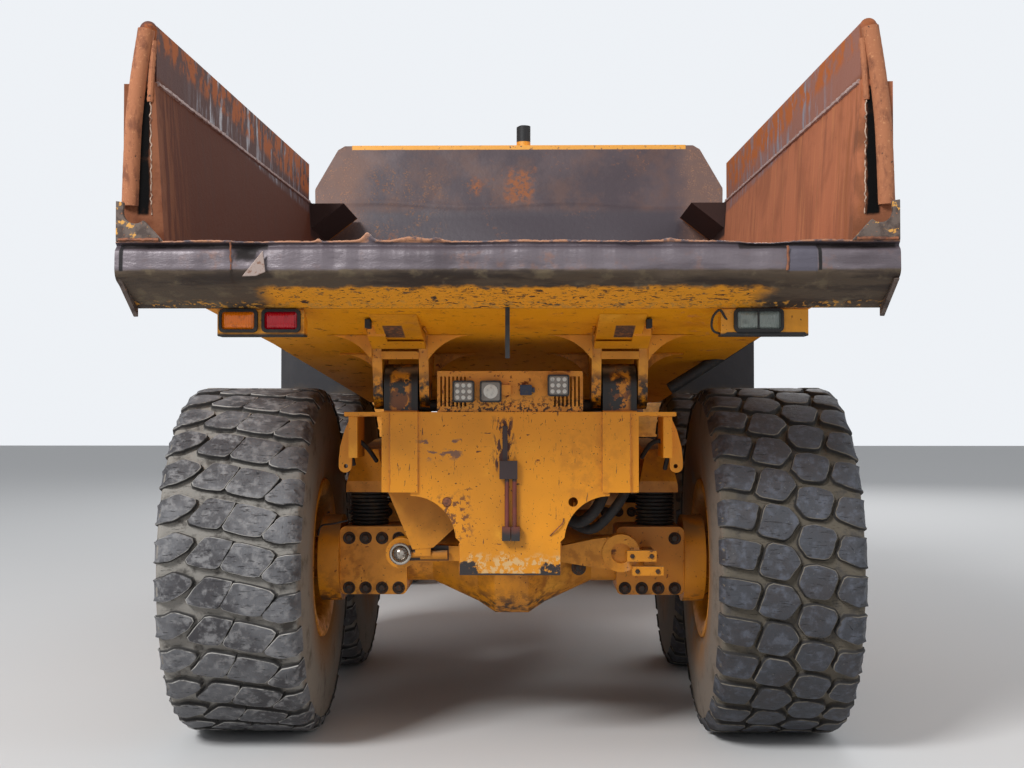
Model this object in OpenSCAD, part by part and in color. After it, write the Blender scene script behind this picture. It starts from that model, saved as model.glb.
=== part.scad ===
// Articulated six-wheel dump truck, drawn at real size in millimetres.
// +Y points to the nose, +X to the right hand side, +Z up. The origin lies on the
// ground, halfway along and across the machine.

/* [Wheels] */
// Outer diameter of a tyre, to the tips of its lugs
tyre_d = 1870; // [1800:10:1900]
// Width of a tyre over its sidewalls
tyre_w = 730; // [700:10:750]
// Distance between the middles of the left and right tyres
track = 2762; // [2740:2:2800]
// Rows of lugs around a tyre
lug_rows = 30; // [26:1:34]
// Depth of the grooves between the lugs
groove = 34; // [25:1:40]
// Diameter of the rim's bead seat
rim_d = 650; // [630:5:680]
// Radius of the axle spindle that carries a wheel
spindle_r = 110; // [90:5:120]

/* [Axle places] */
// Front axle, ahead of the origin
front_axle_y = 2531; // [2500:1:2560]
// Steering hitch, ahead of the origin
hitch_y = 1254; // [1240:1:1270]
// Middle of the bogie, behind the origin
bogie_y = -2957; // [-2980:1:-2940]
// Distance between the two bogie axles
bogie_span = 1940; // [1920:5:1980]

/* [Dump body] */
// Half of the body's width over the tail lip
body_half = 1687; // [1680:1:1700]
// Rearmost edge of the tail lip
tail_y = -5632; // [-5650:1:-5600]
// Height of the tail lip's top
lip_top = 2477; // [2460:1:2490]
// Thickness of the floor plate with its ribs
floor_t = 90; // [70:5:110]
// Thickness of the side wall
wall_t = 75; // [60:5:90]
// Height of the side band above the side wall
band_h = 265; // [200:5:300]
// Height of the headboard's top
headboard_top = 3935; // [3900:5:3960]

/* [Tip hinge] */
// Tip hinge, behind the origin
tip_y = -4480; // [-4500:5:-4460]
// Height of the tip hinge
tip_z = 1860; // [1850:5:1870]
// Radius of the tip hinge's pin
tip_pin_r = 50; // [40:1:55]
// Running clearance of a pin in its bore
pin_gap = 0.08; // [0.05:0.01:0.1]

/* [Rear frame] */
// Rail's inner face from the middle
rail_in = 461; // [450:1:470]
// Width of a rail
rail_w = 181; // [170:1:185]
// Height of the rail's top
rail_top = 1735; // [1730:1:1740]
// Depth of a rail at the tail
rail_h = 401; // [380:1:420]
// Rear face of the frame
frame_tail_y = -4650; // [-4660:1:-4640]
// Distance between the two holes in the rear plate
plate_hole_span = 630; // [600:2:640]
// Radius of the two holes in the rear plate
plate_hole_r = 24; // [20:1:28]

/* [Hitch] */
// Height of the hitch's middle
hitch_z = 1000; // [980:5:1020]
// Radius of the roll bearing's journal
roll_r = 230; // [200:5:240]
// Radius of the steering pin
steer_pin_r = 60; // [50:1:65]

/* [Tractor] */
// Front edge of the bumper
nose_y = 5632; // [5600:1:5650]
// Half of the distance over the tractor's rails
t_rail_out = 340; // [330:2:350]
// Width of a tractor rail
t_rail_w = 100; // [80:2:110]
// Height of the cab's floor
cab_floor = 1900; // [1890:2:1910]
// Height of the cab's roof
cab_top = 3746; // [3720:1:3770]
// Half of the cab's width at its floor
cab_half = 940; // [920:2:950]
// Thickness of the cab's walls
cab_wall = 60; // [50:2:70]
// Thickness of the hood's walls
hood_wall = 40; // [30:2:50]

/* [Cylinders] */
// Radius of a hoist cylinder's barrel
hoist_r = 95; // [80:1:100]
// Radius of a hoist cylinder's rod
hoist_rod_r = 60; // [50:1:65]
// Radius of a steering cylinder's barrel
steer_r = 62; // [55:1:65]
// Radius of a steering cylinder's rod
steer_rod_r = 35; // [30:1:38]
// Clearance of a rod in its barrel
rod_gap = 1; // [0.5:0.1:2]

/* [Hidden] */
$fn = 64;

tyre_r = tyre_d / 2;
wheel_x = track / 2;
wheel_in = wheel_x - tyre_w / 2;
mid_y = bogie_y + bogie_span / 2;
rear_y = bogie_y - bogie_span / 2;
rail_out = rail_in + rail_w;
rail_foot = rail_top - rail_h;
// A face that another piece comes to stands this far off it, where both are soft or round
seat_gap = 0.3;
// Flat faces that touch lie this far apart
face_gap = 0.05;

yellow = [0.86, 0.56, 0.08];
dark = [0.13, 0.13, 0.14];
rubber = [0.09, 0.09, 0.1];
rust = [0.42, 0.24, 0.14];
glass = [0.35, 0.45, 0.5, 0.5];

// Both hands of a piece that is drawn on the right
module both() {
    children();
    mirror([1, 0, 0]) children();
}
// A (Y, Z) outline carried along X
module across(x0, x1) {
    translate([x0, 0, 0]) rotate([90, 0, 90]) linear_extrude(x1 - x0) children();
}
// An (X, Z) outline carried along Y
module along(y0, y1) {
    translate([0, y1, 0]) rotate([90, 0, 0]) linear_extrude(y1 - y0) children();
}
// A block between two corners
module block(a, b) {
    translate(a) cube(b - a);
}
// A cylinder along X, from x0 to x1
module bar_x(x0, x1, y, z, r) {
    translate([x0, y, z]) rotate([0, 90, 0]) cylinder(h = x1 - x0, r = r);
}
// A cylinder along Y, from y0 to y1
module bar_y(x, y0, y1, z, r) {
    translate([x, y0, z]) rotate([-90, 0, 0]) cylinder(h = y1 - y0, r = r);
}
// A cylinder along Z, from z0 to z1
module bar_z(x, y, z0, z1, r) {
    translate([x, y, z0]) cylinder(h = z1 - z0, r = r);
}
// A block that is as wide on the left as on the right
module mid_block(half, y0, y1, z0, z1) {
    block([-half, y0, z0], [half, y1, z1]);
}
// A tube along a few points, with round joints
module tube(points, r) {
    for (i = [0 : len(points) - 2]) let (d = points[i + 1] - points[i])
        translate(points[i]) {
            rotate([0, acos(d[2] / norm(d)), atan2(d[1], d[0])]) cylinder(h = norm(d), r = r);
            if (i > 0) sphere(r);
        }
}
// A rectangle with round corners, between two corners
module rounded(a, b, r) {
    translate([a[0] + r, a[1]]) square([b[0] - a[0] - 2 * r, b[1] - a[1]]);
    translate([a[0], a[1] + r]) square([b[0] - a[0], b[1] - a[1] - 2 * r]);
    for (x = [a[0] + r, b[0] - r], y = [a[1] + r, b[1] - r]) translate([x, y]) circle(r);
}
// Height on a line through two (Y, Z) points
function on_line(a, b, y) = a[1] + (b[1] - a[1]) * (y - a[0]) / (b[0] - a[0]);

// Rear frame: two box rails, cross boxes, the rear plate and the ring of the roll bearing

// Middle of the hoist cylinders, and their lower and upper pins as (Y, Z)
hoist_x = 335;
hoist_foot = [-600, 960];
hoist_head = [-2920, 1690];
hoist_ear_t = 30;
hoist_eye_w = 90;
hoist_pin_r = 40;
// Bogie pivot tube
beam_pivot_z = 1400;
beam_pivot_r = 90;
// Outer face of the walking beam and its width
beam_out = 900;
beam_w = 210;
plate_t = 25;
plate_half = 251;
plate_foot = 922;
plate_hole_z = 1286;
// Concave shoulders of the plate: their radius, centre and lower corner
shoulder_r = 226;
shoulder_at = [497, 1090];
shoulder_foot = 1110;
ring_y0 = 520;
ring_y1 = 900;
ring_r = 330;
boss_r = 120;
boss_w = rail_w - 11;
boss_x = rail_in + rail_w / 2;
// Outer plate of the tail's top flange, and the worn outer strip of the rail's end
plate_x0 = 768;
plate_x1 = 812;
strip_w = 44;

module rail_outline() {
    polygon([
        [frame_tail_y - 15, rail_foot], [frame_tail_y - 15, rail_top], [-1250, rail_top],
        [-650, 1560], [250, 1330], [ring_y0 + 60, 1290], [ring_y0 + 60, 740],
        [250, 700], [-900, 820], [-1500, 1180], [-3300, 1180], [-3900, rail_foot]
    ]);
}
module rear_plate() {
    along(frame_tail_y, frame_tail_y + plate_t) difference() {
        union() {
            translate([-rail_in, rail_foot]) square([2 * rail_in, rail_h]);
            translate([-plate_half, plate_foot]) square([2 * plate_half, rail_foot - plate_foot]);
            for (s = [-1, 1]) scale([s, 1]) polygon([
                [plate_half, shoulder_foot - 22], [plate_half + 22, shoulder_foot],
                [shoulder_at[0], shoulder_foot], [shoulder_at[0], rail_foot], [0, rail_foot],
                [0, shoulder_foot - 22]
            ]);
        }
        for (s = [-1, 1]) {
            translate([s * shoulder_at[0], shoulder_at[1]]) circle(shoulder_r);
            translate([s * plate_hole_span / 2, plate_hole_z]) circle(plate_hole_r);
        }
    }
}
module tie_eye() {
    along(-4500, -4480) difference() {
        union() {
            polygon([
                [plate_x1 - 1, 1715], [plate_x1 + 4, 1715], [848, 1643], [871, 1560], [878, 1490],
                [878, 1459], [812, 1459], [plate_x1 - 1, 1520]
            ]);
            translate([845, 1459]) circle(33);
        }
        translate([842, 1459]) circle(11);
    }
}
module rear_frame() {
    color(yellow) {
        difference() {
            union() {
                both() difference() {
                    across(rail_in, rail_out) rail_outline();
                    bar_x(rail_in - 1, rail_out + 1, 60, 1010, 120);
                    block([rail_out - strip_w, frame_tail_y - 20, rail_foot - 1],
                          [rail_out + 1, frame_tail_y, rail_top + 1]);
                }
                // Cross boxes, as rows of [rear, front, foot, top]
                for (c = [[-4600, -4330, 1420, 1700], [-3080, -2830, 1260, 1540],
                          [-470, -340, 1010, 1320]])
                    mid_block(rail_in, c[0], c[1], c[2], c[3]);
                // Nose box and the ring of the roll bearing
                mid_block(rail_in, 250, ring_y0 + 60, 780, 1250);
                bar_y(0, ring_y0, ring_y1, hitch_z, ring_r);
            }
            bar_y(0, 380, ring_y1 + 1, hitch_z, roll_r + pin_gap);
        }
        rear_plate();
        // Top flange with its outer plates and tie-down eyes
        both() {
            block([rail_out, frame_tail_y, rail_top - 20], [830, -4330, rail_top]);
            block([plate_x0, frame_tail_y + 30, 1505], [plate_x1, -4330, rail_top - 20]);
            tie_eye();
        }
        mid_block(rail_in, frame_tail_y, -4330, rail_top - 20, rail_top);
        // Tip hinge bosses on the rails
        both() difference() {
            union() {
                bar_x(boss_x - boss_w / 2, boss_x + boss_w / 2, tip_y, tip_z, boss_r);
                block([boss_x - boss_w / 2, tip_y - boss_r, rail_top],
                      [boss_x + boss_w / 2, tip_y + boss_r, tip_z]);
            }
            bar_x(rail_in, rail_out, tip_y, tip_z, tip_pin_r + pin_gap);
        }
        // Tube that the walking beams turn on
        both() {
            bar_x(rail_out, beam_out - 5, bogie_y, beam_pivot_z, beam_pivot_r);
            bar_x(rail_out, beam_out - beam_w - 5, bogie_y, beam_pivot_z, beam_pivot_r + 50);
        }
        // Lower ears and pins of the hoist cylinders
        both() {
            for (s = [-1, 1]) across(hoist_x + s * (hoist_eye_w / 2 + 8 + hoist_ear_t / 2)
                                     - hoist_ear_t / 2,
                                     hoist_x + s * (hoist_eye_w / 2 + 8 + hoist_ear_t / 2)
                                     + hoist_ear_t / 2)
                union() {
                    translate(hoist_foot) circle(80);
                    translate([hoist_foot[0], hoist_foot[1] - 80]) square([130, 300]);
                }
            bar_x(hoist_x - hoist_eye_w / 2 - 9, hoist_x + hoist_eye_w / 2 + 9,
                  hoist_foot[0], hoist_foot[1], hoist_pin_r);
        }
        // Bracket of the track rod's left end, with the ball stud that it clamps
        along(track_rod_y - 100, track_rod_y - 70) polygon([
            [-rail_out, rail_foot], [-627, 1300], [-509, 1024], [-401, 1034], [-284, 1142],
            [-250, 1250], [-300, rail_foot]
        ]);
        translate([-rod_eye_x, track_rod_y - 50, track_rod_z]) sphere(rod_eye_bore - 8);
        bar_x(-rod_eye_x, -470, track_rod_y - 62, track_rod_z - 6, 16);
        bar_x(-471, -330, track_rod_y - 62, track_rod_z - 8, 24);
        block([-495, track_rod_y - 95, track_rod_z - 10], [-415, track_rod_y - 72, 1036]);
    }
}

// Walking beams: one on each side, from seat to seat over the two axles
seat_top = 1530;
seat_foot = 1300;
module bogie_beams() {
    half = bogie_span / 2;
    color(yellow) both() difference() {
        intersection() {
            across(beam_out - beam_w, beam_out) polygon([
                [bogie_y - half - 130, seat_foot], [bogie_y - half - 130, 1360],
                [bogie_y - half - 60, seat_top], [bogie_y - half + 160, seat_top],
                [bogie_y - 200, 1570], [bogie_y + 200, 1570],
                [bogie_y + half - 160, seat_top], [bogie_y + half + 60, seat_top],
                [bogie_y + half + 130, 1360], [bogie_y + half + 130, seat_foot],
                [bogie_y + half - 140, seat_foot], [bogie_y + 220, 1240],
                [bogie_y - 220, 1240], [bogie_y - half + 140, seat_foot]
            ]);
            along(rear_y - 200, mid_y + 200) polygon([
                [beam_out - beam_w, 1200], [beam_out - beam_w, 1340],
                [beam_out - beam_w + 60, 1600], [beam_out - 60, 1600],
                [beam_out, 1340], [beam_out, 1200]
            ]);
        }
        bar_x(beam_out - beam_w - 1, beam_out + 1, bogie_y, beam_pivot_z, beam_pivot_r + seat_gap);
    }
}

// Driven axle: a banjo housing, two spring pads, hub flanges and spindles
pad_in = 565;
pad_out = 928;
pad_d = 170;
pad_top = 1117;
pad_foot = 752;
bowl_r = 300;
arm_r = 125;
flange_r = 235;
flange_x = 1040;
spindle_end = 1420;
module axle_housing(y, nose) {
    translate([0, y, tyre_r]) {
        rotate([0, 90, 0]) rotate_extrude() polygon([
            [0, -pad_in - 10], [arm_r, -pad_in - 10], [arm_r, -430], [bowl_r - 60, -180],
            [bowl_r, -90], [bowl_r, 90], [bowl_r - 60, 180], [arm_r, 430],
            [arm_r, pad_in + 10], [0, pad_in + 10]
        ]);
        both() {
            along(-pad_d, pad_d) rounded([pad_in, pad_foot - tyre_r], [pad_out, pad_top - tyre_r], 30);
            bar_x(pad_out, flange_x, 0, 0, flange_r);
            bar_x(flange_x, spindle_end, 0, 0, spindle_r);
        }
        bar_y(0, nose > 0 ? 200 : -nose_len, nose > 0 ? nose_len : -200, 0, 120);
    }
}
nose_len = 440;
module bogie_axles() {
    color(yellow) {
        for (y = [mid_y, rear_y]) axle_housing(y, 1);
        // Stud for the right end of the track rod, with its two clamp bars
        block([500, rear_y - 230, track_rod_z - 70], [640, rear_y - pad_d + 1, track_rod_z + 70]);
        bar_y(rod_eye_x, track_rod_y - 20, rear_y - 200, track_rod_z, rod_eye_bore - seat_gap);
        for (bar = [[602, 754, -38, 18], [628, 790, -110, -64]])
            block([bar[0], track_rod_y - 92, track_rod_z + bar[2]],
                  [bar[1], track_rod_y - 47, track_rod_z + bar[3]]);
        block([690, track_rod_y - 48, track_rod_z - 100], [750, rear_y - pad_d + 1, track_rod_z + 10]);
    }
}

// Track rods behind each axle and thrust rods between the axles and the frame
rod_eye_r = 80;
rod_eye_x = 573;
rod_eye_bore = 52;
module track_rod(y, z) {
    difference() {
        union() {
            along(y - 35, y + 35) polygon([
                [-rod_eye_x, z - 70], [-480, z - 48], [-200, z - 40], [250, z - 45],
                [430, z - 75], [rod_eye_x, z - 90], [rod_eye_x, z + 90], [430, z + 72],
                [250, z + 34], [-200, z + 32], [-480, z + 42], [-rod_eye_x, z + 70]
            ]);
            bar_y(-rod_eye_x, y - 45, y + 45, z, rod_eye_r);
            bar_y(rod_eye_x, y - 45, y + 45, z, rod_eye_r + 18);
        }
        for (s = [-1, 1]) bar_y(s * rod_eye_x, y - 46, y + 46, z, rod_eye_bore);
    }
}
track_rod_y = rear_y - 373;
track_rod_z = 1000;
module torque_rods() {
    color(yellow) track_rod(track_rod_y, track_rod_z);
}

// Rubber springs: ribbed stacks between the axle pads and the walking beams
spring_x = 785;
spring_r = 105;
rib_count = 9;
module rubber_stack(z0, z1, r) {
    pitch = (z1 - z0) / rib_count;
    translate([0, 0, z0]) rotate_extrude() polygon(concat(
        [[0, 0]],
        [for (i = [0 : rib_count - 1], p = [[0, 0], [14, 0.25], [0, 0.5]])
            [r - p[0], (i + p[1]) * pitch]],
        [[r, z1 - z0], [0, z1 - z0]]
    ));
}
module rubber_springs() {
    color(rubber) both() for (y = [mid_y, rear_y])
        translate([spring_x, y, 0]) rubber_stack(pad_top, seat_foot, spring_r);
}

// Propeller shafts: hitch to the middle axle, and between the two bogie axles
module drive_shafts() {
    color(dark) {
        bar_y(0, mid_y + nose_len, 250, tyre_r, 55);
        bar_y(0, mid_y + nose_len, mid_y + nose_len + 60, tyre_r, 100);
        bar_y(0, rear_y + nose_len, mid_y - bowl_r, tyre_r, 55);
        bar_y(0, rear_y + nose_len, rear_y + nose_len + 60, tyre_r, 100);
    }
}

// Lamp panel across the frame's tail, with cooling slots at both ends
panel_half = 365;
panel_top = 1940;
lamp_s = 105;
module rear_panel() {
    y0 = frame_tail_y + 10;
    color(yellow) difference() {
        mid_block(panel_half, y0, y0 + 30, rail_top, panel_top);
        for (s = [-1, 1], i = [0 : 6])
            translate([s * (panel_half - 20 - i * 20), y0 + 15, (rail_top + panel_top) / 2])
                cube([9, 40, 150], center = true);
    }
    // Work lamps, as [middle, foot], and the socket between them
    color(glass) for (lamp = [[-232, 1785], [-96, 1785], [242, 1815]])
        block([lamp[0] - lamp_s / 2, y0 - 30, lamp[1]], [lamp[0] + lamp_s / 2, y0, lamp[1] + lamp_s]);
    color(dark) block([-58, y0 - 22, 1820], [5, y0, 1870]);
}

// Tow pin, hanging in front of the rear plate
module tow_pin() {
    y1 = frame_tail_y - face_gap;
    color(rust) {
        block([-37, y1 - 14, 1480], [-12, y1, 1667]);
        block([-52, y1 - 40, 1402], [37, y1, 1492]);
        for (x = [-15, 23]) bar_z(x, y1 - 22, 1150, 1410, 11);
        for (x = [-18, 28]) block([x - 21, y1 - 45, 1096], [x + 21, y1, 1165]);
    }
}

// Dump body: floor, slanted lower sides and side walls in one welded tub.
// Its underside and its floor, as (Y, Z) points from the tail to the front wall.
tub_tail = -5340;
wall_tail = -5500;
front_foot = [-950, 1800];
front_knee = [-450, 3330];
under = [[tub_tail, 2200], [-4400, 2090], [-2900, 1800], front_foot];
wall_top_tail = 3190;
wall_top_front = 3320;
wall_top_y = -1310;
floor_half = 900;
// Half sections, as (X, Z) points from the floor to the top of the side wall
outer_half = [
    [floor_half, 1790], [body_half - 142, 2367], [body_half - 107, 2480],
    [body_half - 47, 3400]
];
wall_out = outer_half[3][0];
module tub_section(inset, z_floor) {
    polygon(concat(
        [for (p = outer_half) [p[0] - inset, p[1] + (p == outer_half[0] ? z_floor : 0)]],
        [for (i = [3 : -1 : 0]) let (p = outer_half[i])
            [-(p[0] - inset), p[1] + (i == 0 ? z_floor : 0)]]
    ));
}
// The tub's outer face at a height between its knuckle and its top
function side_at(z) = z < outer_half[2][1]
    ? outer_half[1][0] + (outer_half[2][0] - outer_half[1][0]) * (z - outer_half[1][1])
        / (outer_half[2][1] - outer_half[1][1]) + seat_gap
    : outer_half[2][0] + (outer_half[3][0] - outer_half[2][0]) * (z - outer_half[2][1])
        / (outer_half[3][1] - outer_half[2][1]) + seat_gap;
// The same between the floor and the knuckle
function low_side_at(z) = floor_half + seat_gap
    + (outer_half[1][0] - floor_half) * (z - outer_half[0][1]) / (outer_half[1][1] - outer_half[0][1]);
function under_at(y) =
    y < under[1][0] ? on_line(under[0], under[1], y) :
    y < under[2][0] ? on_line(under[1], under[2], y) : under[2][1];
// The underside as a seat for what is bolted to it
function seat_under(y) = under_at(y) - face_gap;
// Bent post at the wall's tail edge, as (X, Z) points, and the depth of the wall's top rail
post_r = 38;
post = [[body_half - 27, lip_top + 125], [body_half - 50, 3020], [body_half - 96, 3430]];
rail_depth = 120;
module body_tub() {
    color(rust) difference() {
        intersection() {
            along(wall_tail, 0) tub_section(0, 0);
            across(-body_half, body_half) polygon(concat(under, [
                front_knee, [wall_top_y, wall_top_front], [wall_tail, wall_top_tail],
                [wall_tail, lip_top], [tub_tail, lip_top]
            ]));
        }
        intersection() {
            along(wall_tail - 100, 100) tub_section(wall_t, floor_t);
            across(-body_half, body_half) polygon([
                [wall_tail - 100, lip_top], [tub_tail, lip_top], [under[1][0], under[1][1] + 150],
                [under[2][0], under[2][1] + floor_t], [200, under[2][1] + floor_t],
                [200, 3600], [wall_tail - 100, 3600]
            ]);
        }
    }
    // Round post on the tail edge of each side wall, and the rail along its top
    color(rust) both() {
        tube([for (p = post) [p[0], wall_tail + post_r, p[1]]], post_r);
        for (p = [post[0], post[len(post) - 1]]) translate([p[0], wall_tail + post_r, p[1]]) sphere(post_r);
    }
    color(yellow) both() across(wall_out - 30, body_half - 4) polygon([
        [wall_tail + 2 * post_r, on_line([wall_tail, wall_top_tail], [wall_top_y, wall_top_front],
                                         wall_tail + 2 * post_r)],
        [wall_top_y, wall_top_front], [wall_top_y, wall_top_front - rail_depth],
        [wall_tail + 2 * post_r, on_line([wall_tail, wall_top_tail], [wall_top_y, wall_top_front],
                                         wall_tail + 2 * post_r) - rail_depth]
    ]);
    // Outer ribs of the side walls
    color(yellow) both() for (y = [wall_tail, -4300, -3100, -1900])
        intersection() {
            along(y, y + 90) polygon([
                outer_half[2], [body_half, 2560], [body_half, 3180], [wall_out, 3180],
                [wall_out - 15, 3170]
            ]);
            across(0, 2000) polygon([
                [wall_tail, lip_top], [0, lip_top], [0, 3250],
                [wall_top_y, wall_top_front], [wall_tail, wall_top_tail]
            ]);
        }
}

// Headboard: the sloping front wall, its knee and the rock guard over the cab
// Cut corners of the rock guard, as (X, Z) points on the right
guard_corner = [
    [body_half - 93, 3657], [body_half - 207, headboard_top - 65], [body_half - 317, headboard_top]
];
filler_top = wall_top_front - 15;
function wall_in_at(z) = side_at(z) - wall_t - 2 * seat_gap;
module headboard() {
    t = 60;
    // Corner fillers between the headboard and the ends of the side walls
    color(rust) both() along(wall_top_y, front_knee[0] - 60) polygon([
        [wall_in_at(filler_top) - 255, filler_top], [wall_in_at(filler_top), filler_top],
        [wall_in_at(filler_top - 190), filler_top - 190]
    ]);
    // Pipe end with a slanted cut that stands over the guard's middle
    color(dark) translate([40, -330 + t + 62, 0]) difference() {
        translate([0, 0, headboard_top - 120]) cylinder(h = 300, r = 58);
        translate([0, 0, headboard_top - 100]) cylinder(h = 300, r = 48);
        translate([-80, -80, headboard_top + 165]) rotate([0, -14, 0]) cube([200, 160, 100]);
    }
    color(rust) {
        intersection() {
            across(-wall_out, wall_out) polygon([
                front_foot, front_knee, [-330, headboard_top],
                [-330 + t, headboard_top], front_knee + [t + 8, 0], front_foot + [t + 8, 0]
            ]);
            along(-1200, 100) polygon(concat(
                [for (p = outer_half) p[1] < 3000 ? p : [wall_out, 3330]],
                [for (p = guard_corner) p],
                [for (i = [2 : -1 : 0]) [-guard_corner[i][0], guard_corner[i][1]]],
                [for (i = [3 : -1 : 0]) let (p = outer_half[i])
                    p[1] < 3000 ? [-p[0], p[1]] : [-wall_out, 3330]]
            ));
        }
        across(-guard_corner[2][0] + 10, guard_corner[2][0] - 10) polygon([
            [-330 + t, headboard_top - 55], [190, headboard_top + 3],
            [190, headboard_top + 43], [-330 + t, headboard_top]
        ]);
    }
}

// Side bands: the strips welded on top of the side walls
module side_bands() {
    y0 = wall_tail + 2 * post_r + face_gap;
    foot = on_line([wall_tail, wall_top_tail], [wall_top_y, wall_top_front], y0);
    color(rust) both() across(wall_out - wall_t, wall_out) polygon([
        [y0, foot + face_gap], [wall_top_y, wall_top_front + face_gap],
        [wall_top_y, wall_top_front + band_h + 15], [y0, foot + band_h]
    ]);
}

// Tail lip: the bent plate that closes the floor's end, with its end plates
module tail_lip() {
    color(rust) across(-body_half, body_half) polygon([
        [tail_y, 2320], under[0], [tub_tail, lip_top], [tail_y, lip_top]
    ]);
    // Corner plates that brace the tail posts, with a round inner edge
    color(rust) both() along(tail_y + 15, tail_y + 45) difference() {
        polygon([
            [body_half - 205, lip_top - 1], [body_half, lip_top - 1], [body_half, lip_top + 138],
            [body_half - 50, lip_top + 138], [body_half - 128, lip_top + 78]
        ]);
        translate([body_half - 84, lip_top + 122]) circle(52);
    }
    color(yellow) both() across(body_half - 97, body_half) polygon([
        [-5600, on_line([tail_y, 2320], under[0], -5600)], [tub_tail, 2162], under[0]
    ]);
}

// Brackets under the body: two at the tip hinge with their pins, two for the hoist rods
bracket_t = 48;
bracket_r = 110;
bracket_in = rail_in - 3;
bracket_out = rail_out + 2;
module bracket_plate(x0, x1) {
    across(x0, x1) polygon([
        [tip_y - bracket_r, tip_z], [tip_y - 190, seat_under(tip_y - 190)],
        [under[1][0], seat_under(under[1][0])], [tip_y + 200, seat_under(tip_y + 200)],
        [tip_y + bracket_r, tip_z]
    ]);
    bar_x(x0, x1, tip_y, tip_z, bracket_r);
}
// Ribs under the body beside the brackets: their places along it, reach and depth
rib_y = [tip_y - 190, tip_y + 286];
rib_w = 225;
rib_h = 127;
module rib(y, x_tip, x_root) {
    arc_r = (pow(x_root - x_tip, 2) + pow(rib_h, 2)) / (2 * rib_h);
    foot = min(seat_under(y), seat_under(y + 25));
    along(y, y + 25) difference() {
        translate([min(x_tip, x_root), foot - rib_h]) square([abs(x_root - x_tip), rib_h]);
        translate([x_tip, foot - arc_r]) circle(arc_r, $fn = 180);
    }
}
module hinge_brackets() {
    color(yellow) both() {
        bracket_plate(bracket_in - bracket_t, bracket_in);
        bracket_plate(bracket_out, bracket_out + bracket_t);
        bar_x(bracket_in, bracket_out, tip_y, tip_z, tip_pin_r);
        // Tapered box in front of the ears, seen from behind
        difference() {
            across(bracket_in - 40, bracket_out + 40) polygon([
                [-4900, seat_under(-4900)], [-4900, 2100], [-4700, 2050],
                [-4672, 2050], [-4672, seat_under(-4672)]
            ]);
            mid_block(boss_x + 45, -5000, -4640, 2080, 2150);
        }
        // Ribs with a round lower edge, as [inner end, outer end] beside the two plates
        for (y = rib_y) for (e = [[bracket_in - bracket_t - rib_w, bracket_in - bracket_t + 1],
                                  [bracket_out + bracket_t + rib_w, bracket_out + bracket_t - 1]])
            rib(y, e[0], e[1]);
        // Cross bar between the plates, behind the pin
        block([bracket_in - 1, tip_y - 172, 2000], [bracket_out + 1, tip_y - 138, 2038]);
        // Upper ears of the hoist rods
        for (s = [-1, 1])
            across(hoist_x + s * (hoist_eye_w / 2 + 23) - 15,
                   hoist_x + s * (hoist_eye_w / 2 + 23) + 15) polygon([
                hoist_head + [-140, 110], hoist_head + [-60, -60], hoist_head + [60, -60],
                hoist_head + [140, 110]
            ]);
    }
}

// Lamp boxes under the tail lip, the right one with a single lamp
lamp_y = -5335;
lamp_spans = [[-1310, -915, [[-1295, -1129], [-1102, -936]]], [955, 1350, [[1021, 1230]]]];
module lamp_boxes() {
    // Each box as [X from, X to], and its lenses in the same way
    for (box = lamp_spans) {
        color(dark) across(box[0], box[1]) polygon([
            [lamp_y, 2075], [lamp_y, seat_under(lamp_y)], [-5240, seat_under(-5240)], [-5240, 2075]
        ]);
        color(glass) for (x = box[2]) along(lamp_y - 9, lamp_y + 1)
            rounded([x[0], 2098], [x[1], 2193], 12);
    }
}

// Mudflaps: rubber sheets that stand out from the tub over the middle wheels
flap_half = 1735;
module mudflaps() {
    foot = 1807;
    color(rubber) both() along(-1500, -1485) polygon([
        [low_side_at(foot), foot], [flap_half - 30, foot], [flap_half, foot + 40],
        [flap_half, 2370], [flap_half - 50, 2420], [side_at(2420), 2420],
        [side_at(outer_half[1][1]), outer_half[1][1]]
    ]);
}

// Hitch: the journal of the roll bearing and the fork of the steering pin
fork_top = 1290;
fork_foot = 710;
fork_t = 60;
steer_eye = [360, -60];
module hitch_yoke() {
    color(yellow) {
        bar_y(0, 400, ring_y1 + 40, hitch_z, roll_r);
        bar_y(0, ring_y1 + 6, ring_y1 + 60, hitch_z, 290);
        mid_block(200, ring_y1 + 60, 1030, fork_foot, fork_top);
        for (z = [fork_foot, fork_top - fork_t]) {
            mid_block(200, 1030, hitch_y, z, z + fork_t);
            bar_z(0, hitch_y, z, z + fork_t, 150);
        }
        bar_z(0, hitch_y, fork_foot, fork_top, steer_pin_r);
        // Ears for the steering rods
        both() for (z = [hitch_z - 95, hitch_z + 65])
            translate([0, hitch_y, z]) linear_extrude(30) {
                polygon([[199, -264], [199, -70], [345, -2], [410, -95]]);
                translate(steer_eye) circle(60);
            }
    }
}

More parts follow.
